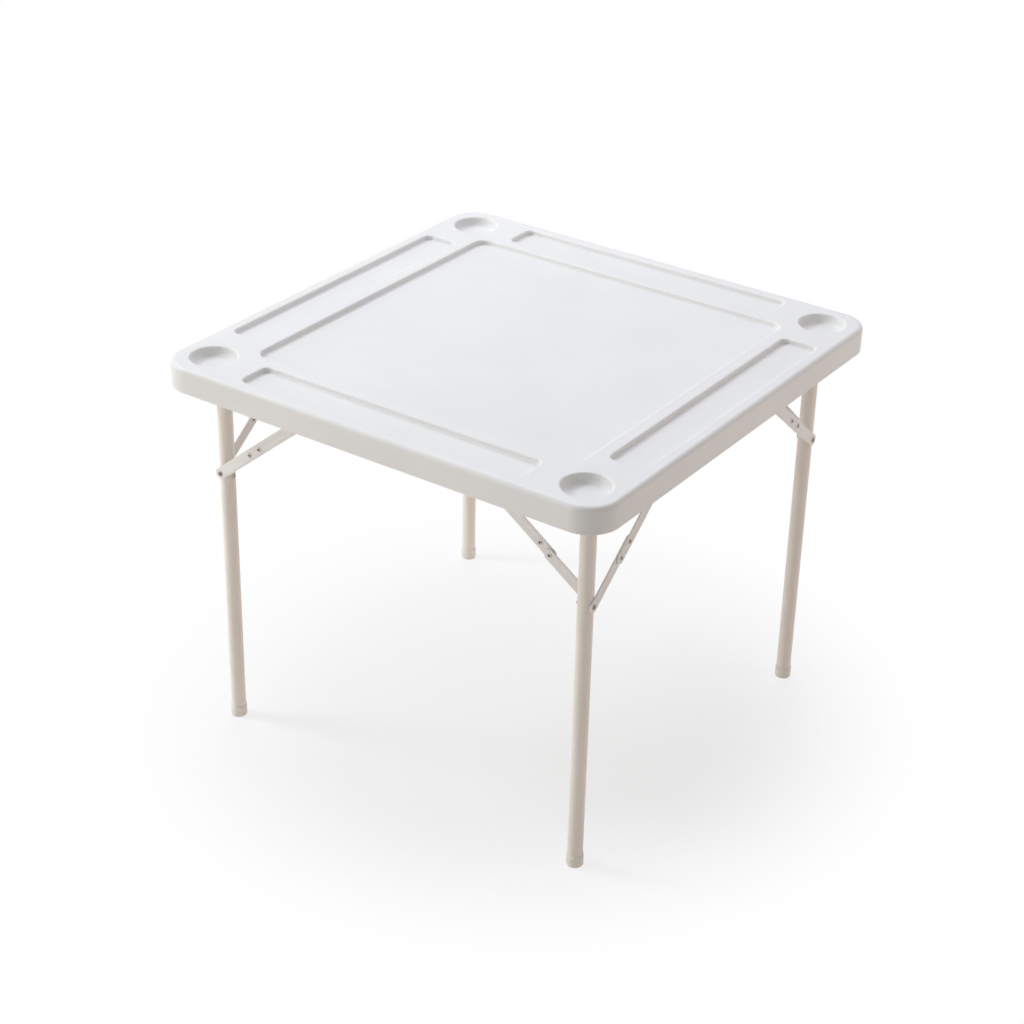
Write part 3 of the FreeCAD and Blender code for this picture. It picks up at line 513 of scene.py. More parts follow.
def solids_of(node: str) -> list[list[Vector]]:
    """The separate solids of a CAD node.

    Args:
        node: The node's name.

    Returns:
        The points of each solid, solids in the order of the mesh.
    """
    mesh = node_copy(node)
    waiting = set(mesh.verts)
    solids = []
    for start in mesh.verts:
        if start not in waiting:
            continue
        waiting.remove(start)
        reached = [start]
        for vertex in reached:
            for edge in vertex.link_edges:
                other = edge.other_vert(vertex)
                if other in waiting:
                    waiting.remove(other)
                    reached.append(other)
        solids.append([vertex.co.copy() for vertex in reached])
    mesh.free()
    return solids


def closed(name: str, work: bmesh.types.BMesh) -> Mesh:
    """Turn the faces of a work mesh outwards and keep it.

    Args:
        name: The kept mesh's name.
        work: The work mesh, which is freed.

    Returns:
        The kept mesh.
    """
    bmesh.ops.recalc_face_normals(work, faces=work.faces)
    mesh = bpy.data.meshes.new(name)
    work.to_mesh(mesh)
    work.free()
    return mesh


def put(name: str, data: bpy.types.ID) -> Object:
    """Put a mesh, a lamp or a camera in the scene.

    Args:
        name: The new object's name.
        data: What it shows.

    Returns:
        The object, at the origin.
    """
    thing = bpy.data.objects.new(name, data)
    bpy.context.scene.collection.objects.link(thing)
    return thing


def modified(thing: Object) -> Mesh:
    """An object's mesh as its modifiers make it."""
    bpy.context.view_layer.update()
    return bpy.data.meshes.new_from_object(thing.evaluated_get(bpy.context.evaluated_depsgraph_get()))


def finished_object(name: str, mesh: Mesh, material: Material) -> Object:
    """Put a mesh in the scene at the origin with one material.

    Args:
        name: The object's name.
        mesh: Its mesh, already in place.
        material: Its finish.

    Returns:
        The new object.
    """
    mesh.name = name
    mesh.materials.clear()
    mesh.materials.append(material)
    mesh.shade_smooth()
    mesh.set_sharp_from_angle(angle=SHARP_ANGLE)
    return put(name, mesh)


def dress(node: str, material: Material) -> None:
    """Give a CAD node its finish.

    Args:
        node: The node's name.
        material: The finish.
    """
    materials = frame["nodes"][node].data.materials
    materials.clear()
    materials.append(material)
    log.info("%s takes %s", node, material.name)


def stand_for(piece: Object, slot: Slot, *nodes: str) -> None:
    """Let a piece ride on its nodes' body and stand for them.

    Args:
        piece: The new piece.
        slot: The record's material slot; not used.
        nodes: The CAD nodes that it replaces.
    """
    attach(piece, frame["nodes"][nodes[0]]["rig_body"])
    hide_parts(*nodes)
    log.info("%s stands for %s", piece.name, ", ".join(nodes))


def ease(node: str, material: Material, width: float, slot: Slot) -> None:
    """Put a copy with broken edges in a CAD node's place.

    Args:
        node: The node's name.
        material: The finish of the copy.
        width: The width of the broken edges.
        slot: The record's material slot.
    """
    mesh = node_copy(node)
    bmesh.ops.dissolve_limit(mesh, angle_limit=FLAT_ANGLE, verts=mesh.verts, edges=mesh.edges)
    sharp = [
        edge for edge in mesh.edges
        if len(edge.link_faces) == 2 and edge.calc_face_angle() > SHARP_ANGLE
    ]
    bmesh.ops.bevel(
        mesh, geom=sharp, offset=width, segments=EASE_SEGMENTS, profile=EASE_PROFILE,
        affect="EDGES", clamp_overlap=True,
    )
    name = node + "_eased"
    stand_for(finished_object(name, closed(name, mesh), material), slot, node)


def turned_mesh(name: str, profile: Profile, sides: int, pocket: float = 0.0) -> Mesh:
    """A closed round mesh about Z, with an attribute that marks its pockets.

    Args:
        name: The mesh's name.
        profile: Radius and height pairs from the axis round to the axis.
        sides: The number of facets round it.
        pocket: The radius within which the surface belongs to a pocket, which the zinc finishes darken
            with painted shade.

    Returns:
        The mesh.
    """
    mesh = bmesh.new()
    rings = []
    depths = []
    for radius, height in profile:
        count = sides if radius > WELD_DISTANCE else 1
        ring = []
        for step in range(count):
            angle = 2 * math.pi * step / sides
            ring.append(mesh.verts.new((radius * math.cos(angle), radius * math.sin(angle), height)))
            depths.append(1.0 if radius < pocket else 0.0)
        rings.append(ring)
    for ring, following in zip(rings, rings[1:]):
        for step in range(sides):
            corners = [
                ring[step % len(ring)],
                ring[(step + 1) % len(ring)],
                following[(step + 1) % len(following)],
                following[step % len(following)],
            ]
            unique = list(dict.fromkeys(corners))
            if len(unique) > 2:
                mesh.faces.new(unique)
    result = closed(name, mesh)
    result.attributes.new(POCKET, "FLOAT", "POINT").data.foreach_set("value", depths)
    return result


# Repeated hardware


class GrowthTree:
    """A Geometry Nodes tree that grows a finished mesh from seed points or paths."""

    SEED = 0

    def __init__(self, name: str, inputs: dict[str, str]) -> None:
        """Start a tree.

        Args:
            name: The tree's name.
            inputs: The kind of socket of each input that only this tree has.
        """
        self.group = bpy.data.node_groups.new(name, "GeometryNodeTree")
        face = self.group.interface
        face.new_socket("Geometry", in_out="INPUT", socket_type="NodeSocketGeometry")
        self.keys: dict[str, str] = {}
        for label, kind in {**inputs, "Finish": "Material", "Seed": "Int"}.items():
            socket = face.new_socket(label, in_out="INPUT", socket_type="NodeSocket" + kind)
            self.keys[label] = socket.identifier
        face.new_socket("Geometry", in_out="OUTPUT", socket_type="NodeSocketGeometry")
        self.graph = NodeGraph(self.group)
        entry = self.group.nodes.new("NodeGroupInput")
        self.given = {socket.name: Signal(self.graph, socket) for socket in entry.outputs}

    def close(self, instances: Signal) -> None:
        """End the tree by making one mesh with the finish.

        Args:
            instances: The instances that the mesh is made of.
        """
        real = self.graph.node("GeometryNodeRealizeInstances", None, {"Geometry": instances})
        dressed = self.graph.node(
            "GeometryNodeSetMaterial", None, {"Geometry": real, "Material": self.given["Finish"]}
        )
        self.graph.node("NodeGroupOutput", None, {0: dressed})

    def grow(self, name: str, seeds: Mesh, material: Material, values: dict[str, Any]) -> Object:
        """Run the tree on seeds and keep its result as a plain mesh.

        Args:
            name: The new object's name.
            seeds: The mesh of points or paths that the tree works on.
            material: The finish of the result.
            values: The values of the inputs that only this tree has.

        Returns:
            The finished object.
        """
        holder = put(name + "_seeds", seeds)
        modifier = holder.modifiers.new("grow", "NODES")
        modifier.node_group = self.group
        for label, value in {**values, "Finish": material, "Seed": self.SEED}.items():
            modifier[self.keys[label]] = value
        mesh = modified(holder)
        holder.modifiers.remove(modifier)
        bpy.data.objects.remove(holder)
        log.info("%s has %d faces", name, len(mesh.polygons))
        return finished_object(name, mesh, material)


class SeatTree(GrowthTree):
    """A tree that sets shapes from a collection on seat points."""

    SEED = 7
    FACING = "facing"
    KIND = "kind"

    def __init__(self) -> None:
        """Build the tree."""
        super().__init__("seated_hardware", {"Shapes": "Collection", "Twist": "Float"})
        graph = self.graph
        shapes = graph.node(
            "GeometryNodeCollectionInfo", None,
            {"Collection": self.given["Shapes"], "Separate Children": True, "Reset Children": True},
        )
        facing = graph.node(
            "GeometryNodeInputNamedAttribute", {"data_type": "FLOAT_VECTOR"}, {"Name": self.FACING}
        )
        kind = graph.node("GeometryNodeInputNamedAttribute", {"data_type": "INT"}, {"Name": self.KIND})
        turn = graph.node(
            "FunctionNodeRandomValue", {"data_type": "FLOAT"},
            {2: 0.0, 3: self.given["Twist"], "Seed": self.given["Seed"]}, output=1,
        )
        spun = graph.node("ShaderNodeCombineXYZ", None, {"Z": turn})
        rotation = graph.node("FunctionNodeAlignRotationToVector", {"axis": "Z"}, {"Vector": facing})
        rotation = graph.node(
            "FunctionNodeRotateRotation", {"rotation_space": "LOCAL"},
            {"Rotation": rotation, "Rotate By": spun},
        )
        self.close(graph.node(
            "GeometryNodeInstanceOnPoints", None,
            {
                "Points": self.given["Geometry"], "Instance": shapes, "Pick Instance": True,
                "Instance Index": kind, "Rotation": rotation,
            },
        ))


class BeadTree(GrowthTree):
    """A tree that lays overlapping weld ripples along a path."""

    SEED = 3
    SEGMENTS = 10
    RINGS = 6
    SMALLEST = (0.9, 0.9, 0.75)
    LARGEST = (1.1, 1.1, 0.9)

    def __init__(self) -> None:
        """Build the tree."""
        super().__init__("weld_ripples", {"Spacing": "Float", "Radius": "Float"})
        graph = self.graph
        path = graph.node("GeometryNodeMeshToCurve", None, {"Mesh": self.given["Geometry"]})
        path = graph.node(
            "GeometryNodeResampleCurve", {"mode": "LENGTH"},
            {"Curve": path, "Length": self.given["Spacing"]},
        )
        ripple = graph.node(
            "GeometryNodeMeshUVSphere", None,
            {"Segments": self.SEGMENTS, "Rings": self.RINGS, "Radius": self.given["Radius"]},
        )
        along = graph.node("GeometryNodeInputTangent")
        rotation = graph.node("FunctionNodeAlignRotationToVector", {"axis": "Z"}, {"Vector": along})
        scale = graph.node(
            "FunctionNodeRandomValue", {"data_type": "FLOAT_VECTOR"},
            {0: self.SMALLEST, 1: self.LARGEST, "Seed": self.given["Seed"]},
        )
        self.close(graph.node(
            "GeometryNodeInstanceOnPoints", None,
            {"Points": path, "Instance": ripple, "Rotation": rotation, "Scale": scale},
        ))


@dataclass
class Turned:
    """A round solid read from the frame: where its base sits and its steps along its axis."""

    base: Vector
    facing: Vector
    steps: Profile

    @classmethod
    def read(cls, points: Sequence[Vector], axis: Axis) -> "Turned":
        """Measure a round solid.

        Args:
            points: The solid's points.
            axis: The direction that it lies along.

        Returns:
            The solid, facing along the axis.
        """
        along = axis.value
        across = [index for index in range(3) if index != along]
        low = [min(point[index] for point in points) for index in range(3)]
        high = [max(point[index] for point in points) for index in range(3)]
        middle = [(low[index] + high[index]) / 2 for index in range(3)]
        found = set()
        for point in points:
            radius = math.hypot(*(point[index] - middle[index] for index in across))
            place = point[along] - low[along]
            found.add((round(place, READ_DIGITS), round(radius, READ_DIGITS)))
        places = sorted({place for place, radius in found})
        steps: Profile = []
        for place in places:
            radii = sorted(radius for spot, radius in found if spot == place and radius > SAME_SIZE)
            if steps and len(radii) > 1 and abs(radii[-1] - steps[-1][0]) < SAME_SIZE:
                radii.reverse()
            steps.extend((radius, place) for radius in (radii[0], radii[-1]))
        base = Vector(middle)
        base[along] = low[along]
        return cls(base, axis.direction(), steps)

    def turned_round(self) -> "Turned":
        """The same solid measured from its other end.

        Returns:
            The solid, facing the other way.
        """
        length = self.steps[-1][1]
        steps = [(radius, length - place) for radius, place in reversed(self.steps)]
        return Turned(self.base + self.facing * length, -self.facing, steps)

    def same_as(self, other: "Turned") -> bool:
        """Whether two solids have the same steps."""
        return len(self.steps) == len(other.steps) and all(
            abs(mine[0] - theirs[0]) < SAME_SIZE and abs(mine[1] - theirs[1]) < SAME_SIZE
            for mine, theirs in zip(self.steps, other.steps)
        )


@dataclass(frozen=True)
class HeadForm:
    """How the ends of a turned piece are formed, in shares of the head's own size."""

    flat: float = 0.42
    crown: float = 0.8
    dimple: float = 0.3
    depth: float = 0.55
    curve_steps: int = 5

    # The dimple's wall, in shares of its radius and depth, and how far the painted shade in it reaches
    WALL = ((0.0, 1.0), (0.7, 0.9), (1.0, 0.25), (1.2, 0.0))
    GRIME_REACH = 1.1

    def mouth(self, radius: float) -> float:
        """The radius just outside the dimple of a head, as far as the painted shade reaches."""
        return self.dimple * radius * self.GRIME_REACH

    def outline(self, radius: float, height: float) -> Profile:
        """One end from its axis out to its rim.

        Args:
            radius: The head's radius.
            height: The head's height.

        Returns:
            Radius and depth pairs, depth measured inwards from the end face.
        """
        pocket = self.depth * height
        mouth = self.dimple * radius
        points = [(mouth * out, pocket * down) for out, down in self.WALL]
        start = self.flat * radius
        for step in range(self.curve_steps + 1):
            angle = math.pi / 2 * step / self.curve_steps
            reach = start + (radius - start) * math.sin(angle)
            points.append((reach, self.crown * height * (1 - math.cos(angle))))
        return points


SOLID_HEAD = HeadForm()
HOLLOW_HEAD = HeadForm(flat=0.66, crown=0.6, dimple=0.48, depth=1.5)
ELBOW_HEAD = HeadForm(flat=0.66, crown=0.6, dimple=0.38, depth=1.5)
SCREW_HEAD = HeadForm(flat=0.5, crown=0.7, dimple=0.0, depth=0.0)
PLUG_END = HeadForm(flat=0.8, crown=0.6, dimple=0.0, depth=0.0)


class Hardware:
    """Pins, rivets and other turned pieces, read from the frame and set back with better forms."""

    SIDES = 28

    def __init__(self, seats: SeatTree) -> None:
        """Keep the tree that seats the shapes."""
        self.seats = seats

    def place(
        self,
        name: str,
        nodes: dict[str, Axis],
        slot: Slot,
        material: Material,
        head: HeadForm,
        lengths: tuple[float, float] = (0.0, math.inf),
    ) -> None:
        """Make one piece of the turned solids of some nodes on one body.

        Args:
            name: The piece's name.
            nodes: The CAD nodes and the direction that their solids lie along.
            slot: The record's material slot.
            material: The finish.
            head: The form of the heads.
            lengths: The shortest and longest solids that are taken.
        """
        forms: list[Turned] = []
        seated: list[tuple[Turned, int]] = []
        for node, axis in nodes.items():
            for points in solids_of(node):
                solid = Turned.read(points, axis)
                if lengths[0] <= solid.steps[-1][1] <= lengths[1]:
                    seated.append(self._match(solid, forms))
        shapes = []
        for index, form in enumerate(forms):
            pocket = head.mouth(max(form.steps[0][0], form.steps[-1][0]))
            shapes.append(turned_mesh(f"{name}_{index}", self._profile(form, head), self.SIDES, pocket))
        piece = self.seat(name, shapes, seated, material)
        stand_for(piece, slot, *nodes)

    def seat(
        self,
        name: str,
        shapes: Sequence[Mesh],
        seated: Sequence[tuple[Turned, int]],
        material: Material,
        twist: float = 0.0,
    ) -> Object:
        """Set shapes on their seats.

        Args:
            name: The piece's name.
            shapes: The meshes to choose from.
            seated: Each seat and the number of its shape.
            material: The finish.
            twist: The most that a shape is turned about its own axis.

        Returns:
            The finished piece.
        """
        collection = bpy.data.collections.new(name + "_shapes")
        for index, mesh in enumerate(shapes):
            collection.objects.link(bpy.data.objects.new(f"{name}_shape_{index:02d}", mesh))
        seeds = bpy.data.meshes.new(name + "_seats")
        seeds.from_pydata([solid.base for solid, kind in seated], [], [])
        seeds.attributes.new(SeatTree.FACING, "FLOAT_VECTOR", "POINT")
        seeds.attributes.new(SeatTree.KIND, "INT", "POINT")
        for index, (solid, kind) in enumerate(seated):
            seeds.attributes[SeatTree.FACING].data[index].vector = solid.facing
            seeds.attributes[SeatTree.KIND].data[index].value = kind
        piece = self.seats.grow(name, seeds, material, {"Shapes": collection, "Twist": twist})
        for holder in list(collection.objects):
            bpy.data.objects.remove(holder)
        bpy.data.collections.remove(collection)
        return piece

    def _match(self, solid: Turned, forms: list[Turned]) -> tuple[Turned, int]:
        """Find a solid's form among those known, from either end, or add it.

        Args:
            solid: The solid.
            forms: The forms known so far.

        Returns:
            The solid, measured from the end that fits, and the number of its form.
        """
        for index, form in enumerate(forms):
            for candidate in (solid, solid.turned_round()):
                if candidate.same_as(form):
                    return candidate, index
        forms.append(solid)
        return solid, len(forms) - 1

    def _profile(self, form: Turned, head: HeadForm) -> Profile:
        """The closed outline of a form with its two ends shaped.

        Args:
            form: The plain form.
            head: The form of its heads.

        Returns:
            Radius and height pairs from the axis round to the axis.
        """
        steps = form.steps
        length = steps[-1][1]
        first = next(place for radius, place in steps if place > SAME_SIZE)
        last = next(place for radius, place in reversed(steps) if length - place > SAME_SIZE)
        radii = [radius for radius, place in steps]
        plain = max(radii) - min(radii) < SAME_SIZE

        def end(radius: float, height: float) -> Profile:
            """A head where the end is wider than the shank or all is one width, else flat."""
            headed = plain or radius > min(radii) + SAME_SIZE
            return head.outline(radius, height) if headed else [(0.0, 0.0), (radius, 0.0)]

        low = end(radii[0], first)
        high = end(radii[-1], length - last)
        inner = [step for step in steps if SAME_SIZE < step[1] < length - SAME_SIZE]
        return low + inner + [(radius, length - depth) for radius, depth in reversed(high)]


# The table


@dataclass
class MouldedTop:
    """The moulded top, the pan under it and the screws between them."""

    finishes: Finishes
    hardware: Hardware
    recess_arm: float = 0.62
    recess_width: float = 0.2
    recess_depth: float = 0.55
    recess_floor: float = 0.75

    SCREWS = ("shell_screws", "saddle_screws", "bracket_screws")

    def build(self) -> None:
        """Dress the two mouldings and make the screws."""
        dress("top_shell", self.finishes.top)
        dress("base_shell", self.finishes.pan)
        for node in self.SCREWS:
            self._screws(node)

    def _screws(self, node: str) -> None:
        """Cross-recessed pan-head screws in place of the plain ones.

        Args:
            node: The CAD node of the plain screws.
        """
        solids = [Turned.read(points, Axis.Z) for points in solids_of(node)]
        steps = solids[0].steps
        head_radius = steps[0][0]
        head_height = next(place for radius, place in steps if place > SAME_SIZE)
        shank, tip = steps[-1]
        crown = SCREW_HEAD.outline(head_radius, head_height)
        profile = [(0.0, 0.0)] + [point for point in crown if point[0] > WELD_DISTANCE]
        profile += [(head_radius, head_height), (shank, head_height), (shank, tip - shank), (0.0, tip)]
        blank = turned_mesh(node + "_blank", profile, Hardware.SIDES)
        shape = self._recessed(blank, head_radius, head_height)
        seated = [(solid, 0) for solid in solids]
        piece = self.hardware.seat(node + "_driven", [shape], seated, self.finishes.zinc, math.pi / 2)
        stand_for(piece, Slot.ZINC, node)

    def _recessed(self, blank: Mesh, radius: float, height: float) -> Mesh:
        """A screw with a cross cut into its head.

        Args:
            blank: The plain screw, its head's face at the origin.
            radius: The head's radius.
            height: The head's height.

        Returns:
            The cut screw.
        """
        long_half = self.recess_arm * radius
        half = self.recess_width * radius
        depth = self.recess_depth * height
        taper = self.recess_floor
        arm = [(half, half), (long_half, half), (long_half, -half)]
        cross = []
        for quarter in range(4):
            cross += arm
            arm = [(y, -x) for x, y in arm]
        cutter = bmesh.new()
        mouth = [cutter.verts.new((x, y, -height)) for x, y in cross]
        floor = [cutter.verts.new((x * taper, y * taper, depth)) for x, y in cross]
        cutter.faces.new(mouth)
        cutter.faces.new(list(reversed(floor)))
        for index in range(len(cross)):
            following = (index + 1) % len(cross)
            cutter.faces.new((mouth[index], floor[index], floor[following], mouth[following]))
        tool = put("cross_recess", closed("cross_recess", cutter))
        body = put("screw_blank", blank)
        boolean = body.modifiers.new("recess", "BOOLEAN")
        boolean.object = tool
        boolean.operation = "DIFFERENCE"
        boolean.solver = "EXACT"
        cut = modified(body)
        for thing in (tool, body):
            bpy.data.objects.remove(thing)
        return cut


@dataclass
class Underside:
    """What is screwed under the pan: hinge saddles, brace brackets and their pins."""

    finishes: Finishes
    hardware: Hardware
    saddle_edge: float = 0.6 * MM
    bracket_edge: float = 0.35 * MM

    def build(self) -> None:
        """Ease the edges of the saddles and brackets and make the pins."""
        for side in Side:
            for end in End:
                tail = f"{side}_{end}"
                ease(f"hinge_saddle_{tail}", self.finishes.saddle, self.saddle_edge, Slot.SADDLE)
                ease(f"brace_bracket_{tail}", self.finishes.plate, self.bracket_edge, Slot.PAINT)
        pins = {"bracket_pins": Axis.Y}
        self.hardware.place("bracket_pins_headed", pins, Slot.ZINC, self.finishes.zinc, SOLID_HEAD)


@dataclass(frozen=True)
class FootCap:
    """The outline of a foot cap: its radius and height, and the bore that takes the leg."""

    radius: float
    height: float
    bore: float
    bore_floor: float

    # Shares of the radius and millimetres up, from the middle of the sole to the side
    SOLE = ((0.0, 0.6), (0.5, 0.6), (0.56, 0.0), (0.86, 0.0), (0.95, 0.5), (0.985, 1.4), (1.0, 3.0))

    # Millimetres in from the side and shares of the height, across a groove to the rim
    RIM = ((0.0, 0.84), (0.5, 0.87), (0.5, 0.89), (0.0, 0.92), (0.0, 0.95), (0.4, 0.98), (1.2, 1.0))

    # Millimetres out from the bore and down from the rim
    MOUTH = ((0.3, 0.0), (0.0, 0.4))

    def profile(self) -> Profile:
        """The closed outline from the middle of the sole round to the middle of the bore.

        Returns:
            Radius and height pairs.
        """
        sole = [(self.radius * share, up * MM) for share, up in self.SOLE]
        rim = [(self.radius - inset * MM, self.height * share) for inset, share in self.RIM]
        mouth = [(self.bore + out * MM, self.height - down * MM) for out, down in self.MOUTH]
        return sole + rim + mouth + [(self.bore, self.bore_floor), (0.0, self.bore_floor)]


@dataclass
class LegFrame:
    """One folding leg frame: two legs, a crossbar, stiffeners, pins, feet and welds."""

    side: Side
    finishes: Finishes
    hardware: Hardware
    beads: BeadTree
    plate_edge: float = 0.35 * MM
    rivet_longest: float = 15 * MM
    bead_radius: float = 1.7 * MM
    bead_spacing: float = 1.5 * MM
    bead_lift: float = 0.3 * MM
    path_points: int = 72
    foot_gap: float = 0.05 * MM
    foot_sides: int = 48

    def build(self) -> None:
        """Dress the tubes and make the plates, pins, feet and welds."""
        side = self.side
        dress(f"crossbar_{side}", self.finishes.paint)
        for end in End:
            dress(f"leg_{side}_{end}", self.finishes.paint)
            for layer in ("lower", "upper"):
                node = f"stiffener_{layer}_{side}_{end}"
                ease(node, self.finishes.plate, self.plate_edge, Slot.PAINT)
        rivets = {f"stiffener_rivets_{side}": Axis.X}
        self.hardware.place(
            f"plate_rivets_{side}", rivets, Slot.ZINC, self.finishes.pale_zinc, HOLLOW_HEAD,
            lengths=(0.0, self.rivet_longest),
        )
        self.hardware.place(
            f"leg_bolts_{side}", rivets, Slot.ZINC, self._bolt_finish(), SOLID_HEAD,
            lengths=(self.rivet_longest, math.inf),
        )
        pins = {f"brace_pins_{side}": Axis.Y}
        self.hardware.place(f"brace_pins_{side}_headed", pins, Slot.ZINC, self.finishes.zinc, SOLID_HEAD)
        plugs = {f"leg_plug_{side}_{end}": Axis.Z for end in End}
        self.hardware.place(f"leg_plugs_{side}", plugs, Slot.FOOT, self.finishes.foot, PLUG_END)
        self._feet()
        self._welds()

    def _bolt_finish(self) -> Material:
        """The left frame's bolts take the pale zinc, the right one's the dull zinc."""
        return self.finishes.pale_zinc if self.side is Side.LEFT else self.finishes.zinc

    def _feet(self) -> None:
        """Foot caps with a rolled rim, a groove under it and a rounded sole."""
        nodes = [f"foot_{self.side}_{end}" for end in End]
        seated = []
        for node in nodes:
            low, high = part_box(node)
            base = Vector(((low.x + high.x) / 2, (low.y + high.y) / 2, low.z))
            seated.append((Turned(base, Axis.Z.direction(), []), 0))
        leg_low, leg_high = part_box(f"leg_{self.side}_{End.FRONT}")
        cap = FootCap(
            radius=(high.x - low.x) / 2,
            height=high.z - low.z,
            bore=(leg_high.x - leg_low.x) / 2 + self.foot_gap,
            bore_floor=leg_low.z,
        )
        shape = turned_mesh(f"foot_cap_{self.side}", cap.profile(), self.foot_sides)
        piece = self.hardware.seat(f"foot_caps_{self.side}", [shape], seated, self.finishes.foot)
        stand_for(piece, Slot.FOOT, *nodes)

    def _welds(self) -> None:
        """Ripples of weld where the crossbar meets the legs."""
        bar_low, bar_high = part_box(f"crossbar_{self.side}")
        bar = (bar_high.z - bar_low.z) / 2
        axis = (bar_high.z + bar_low.z) / 2
        points: list[Vector] = []
        edges: list[tuple[int, int]] = []
        for end in End:
            low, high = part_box(f"leg_{self.side}_{end}")
            middle = (low + high) / 2
            leg = (high.x - low.x) / 2
            inward = -math.copysign(1.0, middle.y)
            first = len(points)
            for step in range(self.path_points):
                angle = 2 * math.pi * step / self.path_points
                across = bar * math.cos(angle)
                reach = math.sqrt(leg * leg - across * across) + self.bead_lift
                height = axis + bar * math.sin(angle)
                points.append(Vector((middle.x + across, middle.y + inward * reach, height)))
                edges.append((first + step, first + (step + 1) % self.path_points))
        path = bpy.data.meshes.new(f"weld_path_{self.side}")
        path.from_pydata(points, edges, [])
        values = {"Spacing": self.bead_spacing, "Radius": self.bead_radius}
        name = f"crossbar_welds_{self.side}"
        piece = self.beads.grow(name, path, self.finishes.paint, values)
        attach(piece, f"frame_{self.side}")


@dataclass
class ElbowBrace:
    """One folding brace: a lower link on the leg, an upper link on the bracket and their rivets."""

    side: Side
    end: End
    finishes: Finishes
    hardware: Hardware
    edge: float = 0.35 * MM

    def build(self) -> None:
        """Ease the links' edges and make the rivets."""
        for link in ("lower", "upper"):
            tail = f"{link}_{self.side}_{self.end}"
            ease(f"brace_{tail}", self.finishes.plate, self.edge, Slot.PAINT)
            rivet = {f"elbow_rivet_{tail}": Axis.Y}
            self.hardware.place(f"rivets_{tail}", rivet, Slot.ZINC, self.finishes.pale_zinc, ELBOW_HEAD)


# Studio


@dataclass(frozen=True)
class Softbox:
    """A square area lamp that faces the table; glossy surfaces show it where it is mirrored."""

    name: str
    place: tuple[float, float, float]
    size: float
    power: float
    tint: tuple[float, float, float]
    mirrored: bool = True

    def build(self, target: Vector) -> None:
        """Put the lamp in the scene.

        Args:
            target: The point that it faces.
        """
        lamp = bpy.data.lights.new(self.name, "AREA")
        lamp.shape = "SQUARE"
        lamp.size = self.size
        lamp.energy = self.power
        lamp.color = self.tint
        thing = put(self.name, lamp)
        thing.location = self.place
        thing.rotation_euler = (target - Vector(self.place)).to_track_quat("-Z", "Y").to_euler()
        thing.visible_glossy = self.mirrored


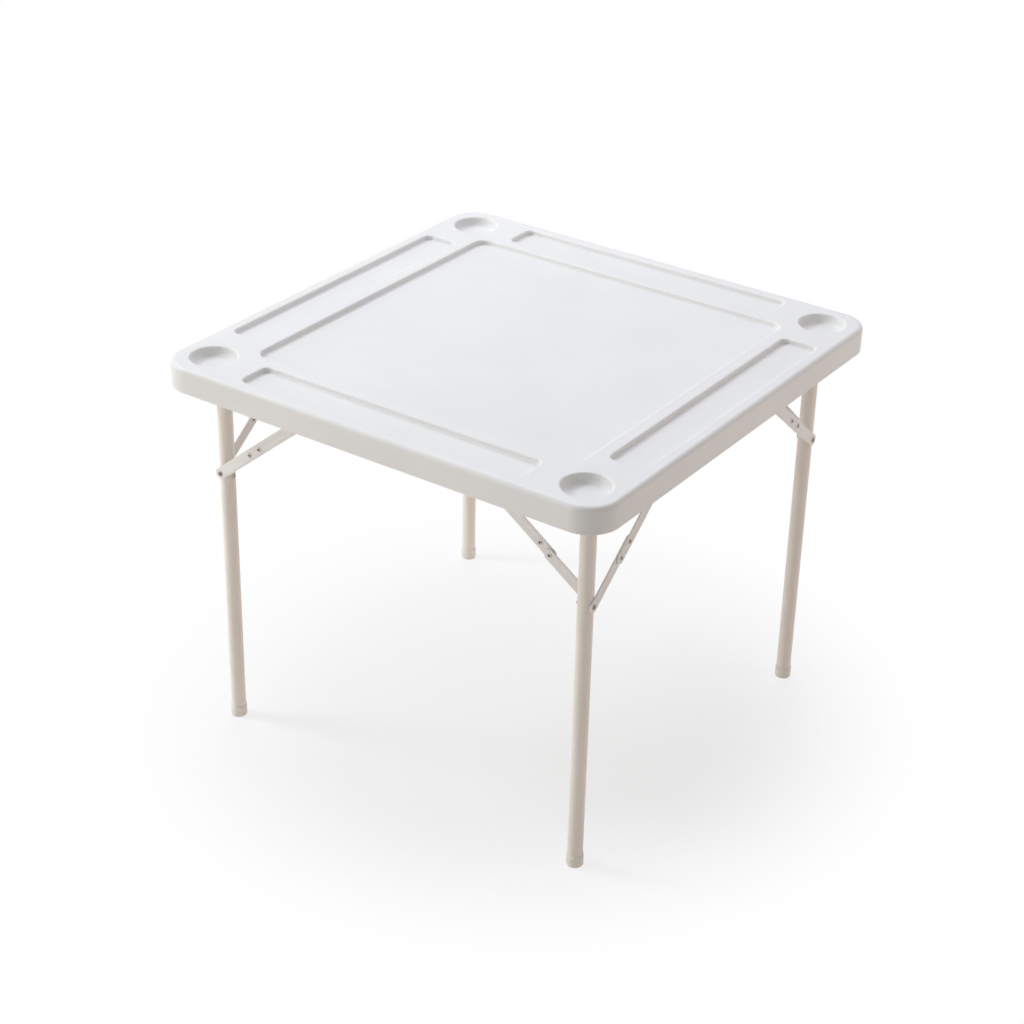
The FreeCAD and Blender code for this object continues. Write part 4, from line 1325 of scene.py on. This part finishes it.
@dataclass
class Studio:
    """White floor and surround, soft lamps and the camera."""

    camera_place: tuple[float, float, float] = (1.8842, -2.7721, 2.2449)
    azimuth: float = 34.4555
    elevation: float = 29.1088
    roll: float = 1.3364
    focal_pixels: float = 2202.265
    floor_half: float = 30.0
    floor_paint: Colour = (0.905, 0.9, 0.895, 1.0)
    floor_bounce: Colour = (0.95, 0.875, 0.8, 1.0)
    fade_start: float = 0.34
    fade_end: float = 0.78
    shadow_share: float = 0.36
    ambient: float = 0.287
    target: tuple[float, float, float] = (0.0, 0.0, 0.55)
    lamps: tuple[Softbox, ...] = (
        Softbox("overhead", (-0.8, 1.1, 3.3), size=2.4, power=49.9, tint=(0.862, 0.882, 1.0)),
        Softbox("left_high", (-3.2, -1.4, 3.6), size=1.0, power=70.5, tint=(0.867, 0.953, 1.0)),
        Softbox("left_bank", (-4.2, -2.9, 1.6), size=1.6, power=51.6, tint=(1.0, 0.99, 0.95)),
        Softbox("front_bank", (-2.0, -4.3, 2.2), size=2.6, power=30.0, tint=(1.0, 0.96, 0.96)),
        Softbox(
            "right_bank", (3.4, 2.0, 1.3), size=2.0, power=27.7, tint=(1.0, 0.796, 0.738), mirrored=False
        ),
    )

    def build(self) -> None:
        """Make the surround, the lamps and the camera."""
        bpy.context.scene.view_settings.view_transform = "Standard"
        self._surround()
        self._floor()
        for lamp in self.lamps:
            lamp.build(Vector(self.target))
        self._camera()

    def _seen(self, graph: NodeGraph) -> Signal:
        """1 for rays that show the surround to the camera, straight, mirrored or through glass."""
        rays = [
            graph.node("ShaderNodeLightPath", output=name)
            for name in ("Is Camera Ray", "Is Glossy Ray", "Is Transmission Ray")
        ]
        return (rays[0] + rays[1] + rays[2]).least(1.0)

    def _surround(self) -> None:
        """A white world that lights the table softly."""
        world = bpy.data.worlds.new("white_surround")
        world.use_nodes = True
        bpy.context.scene.world = world
        graph = NodeGraph(world.node_tree)
        strength = self._seen(graph) * (1.0 - self.ambient) + self.ambient
        shader = graph.node("ShaderNodeBackground", None, {"Color": WHITE, "Strength": strength})
        graph.node("ShaderNodeOutputWorld", None, {"Surface": shader})

    def _floor(self) -> None:
        """A pale floor that keeps the table's shadow and fades to white around it."""
        half = self.floor_half
        mesh = bpy.data.meshes.new("floor")
        corners = [(-half, -half, 0.0), (half, -half, 0.0), (half, half, 0.0), (-half, half, 0.0)]
        mesh.from_pydata(corners, [], [(0, 1, 2, 3)])
        floor = put("floor", mesh)
        material, graph = new_material("pale_floor")
        distance = graph.node(
            "ShaderNodeVectorMath", {"operation": "LENGTH"}, {0: graph.place()}, output="Value"
        )
        far = distance.rise(self.fade_start, self.fade_end)
        white = 1.0 - (1.0 - far) * self.shadow_share
        seen = self._seen(graph)
        tone = graph.blend(seen, self.floor_bounce, self.floor_paint)
        paint = graph.node("ShaderNodeBsdfDiffuse", None, {"Color": tone})
        glow = graph.node("ShaderNodeEmission", None, {"Color": WHITE, "Strength": 1.0})
        shader = graph.node("ShaderNodeMixShader", None, {0: seen * white, 1: paint, 2: glow})
        graph.node("ShaderNodeOutputMaterial", None, {"Surface": shader})
        mesh.materials.append(material)

    def _camera(self) -> None:
        """The camera at the photographed angle."""
        turn = Matrix.Rotation(math.radians(self.azimuth), 4, "Z")
        turn = turn @ Matrix.Rotation(math.radians(90 - self.elevation), 4, "X")
        turn = turn @ Matrix.Rotation(math.radians(self.roll), 4, "Z")
        lens = bpy.data.cameras.new("camera")
        lens.sensor_fit = "HORIZONTAL"
        lens.sensor_width = SENSOR_WIDTH
        lens.lens = self.focal_pixels / IMAGE_PIXELS * SENSOR_WIDTH
        camera = put("camera", lens)
        camera.matrix_world = Matrix.Translation(self.camera_place) @ turn
        bpy.context.scene.camera = camera


def main() -> None:
    """Build the table's looks and the studio round it."""
    logging.basicConfig(level=logging.INFO, format="%(name)s: %(message)s")
    Studio().build()
    finishes = Finishes()
    hardware = Hardware(SeatTree())
    beads = BeadTree()
    MouldedTop(finishes, hardware).build()
    Underside(finishes, hardware).build()
    for side in Side:
        LegFrame(side, finishes, hardware, beads).build()
        for end in End:
            ElbowBrace(side, end, finishes, hardware).build()


if __name__ == "__main__":
    main()
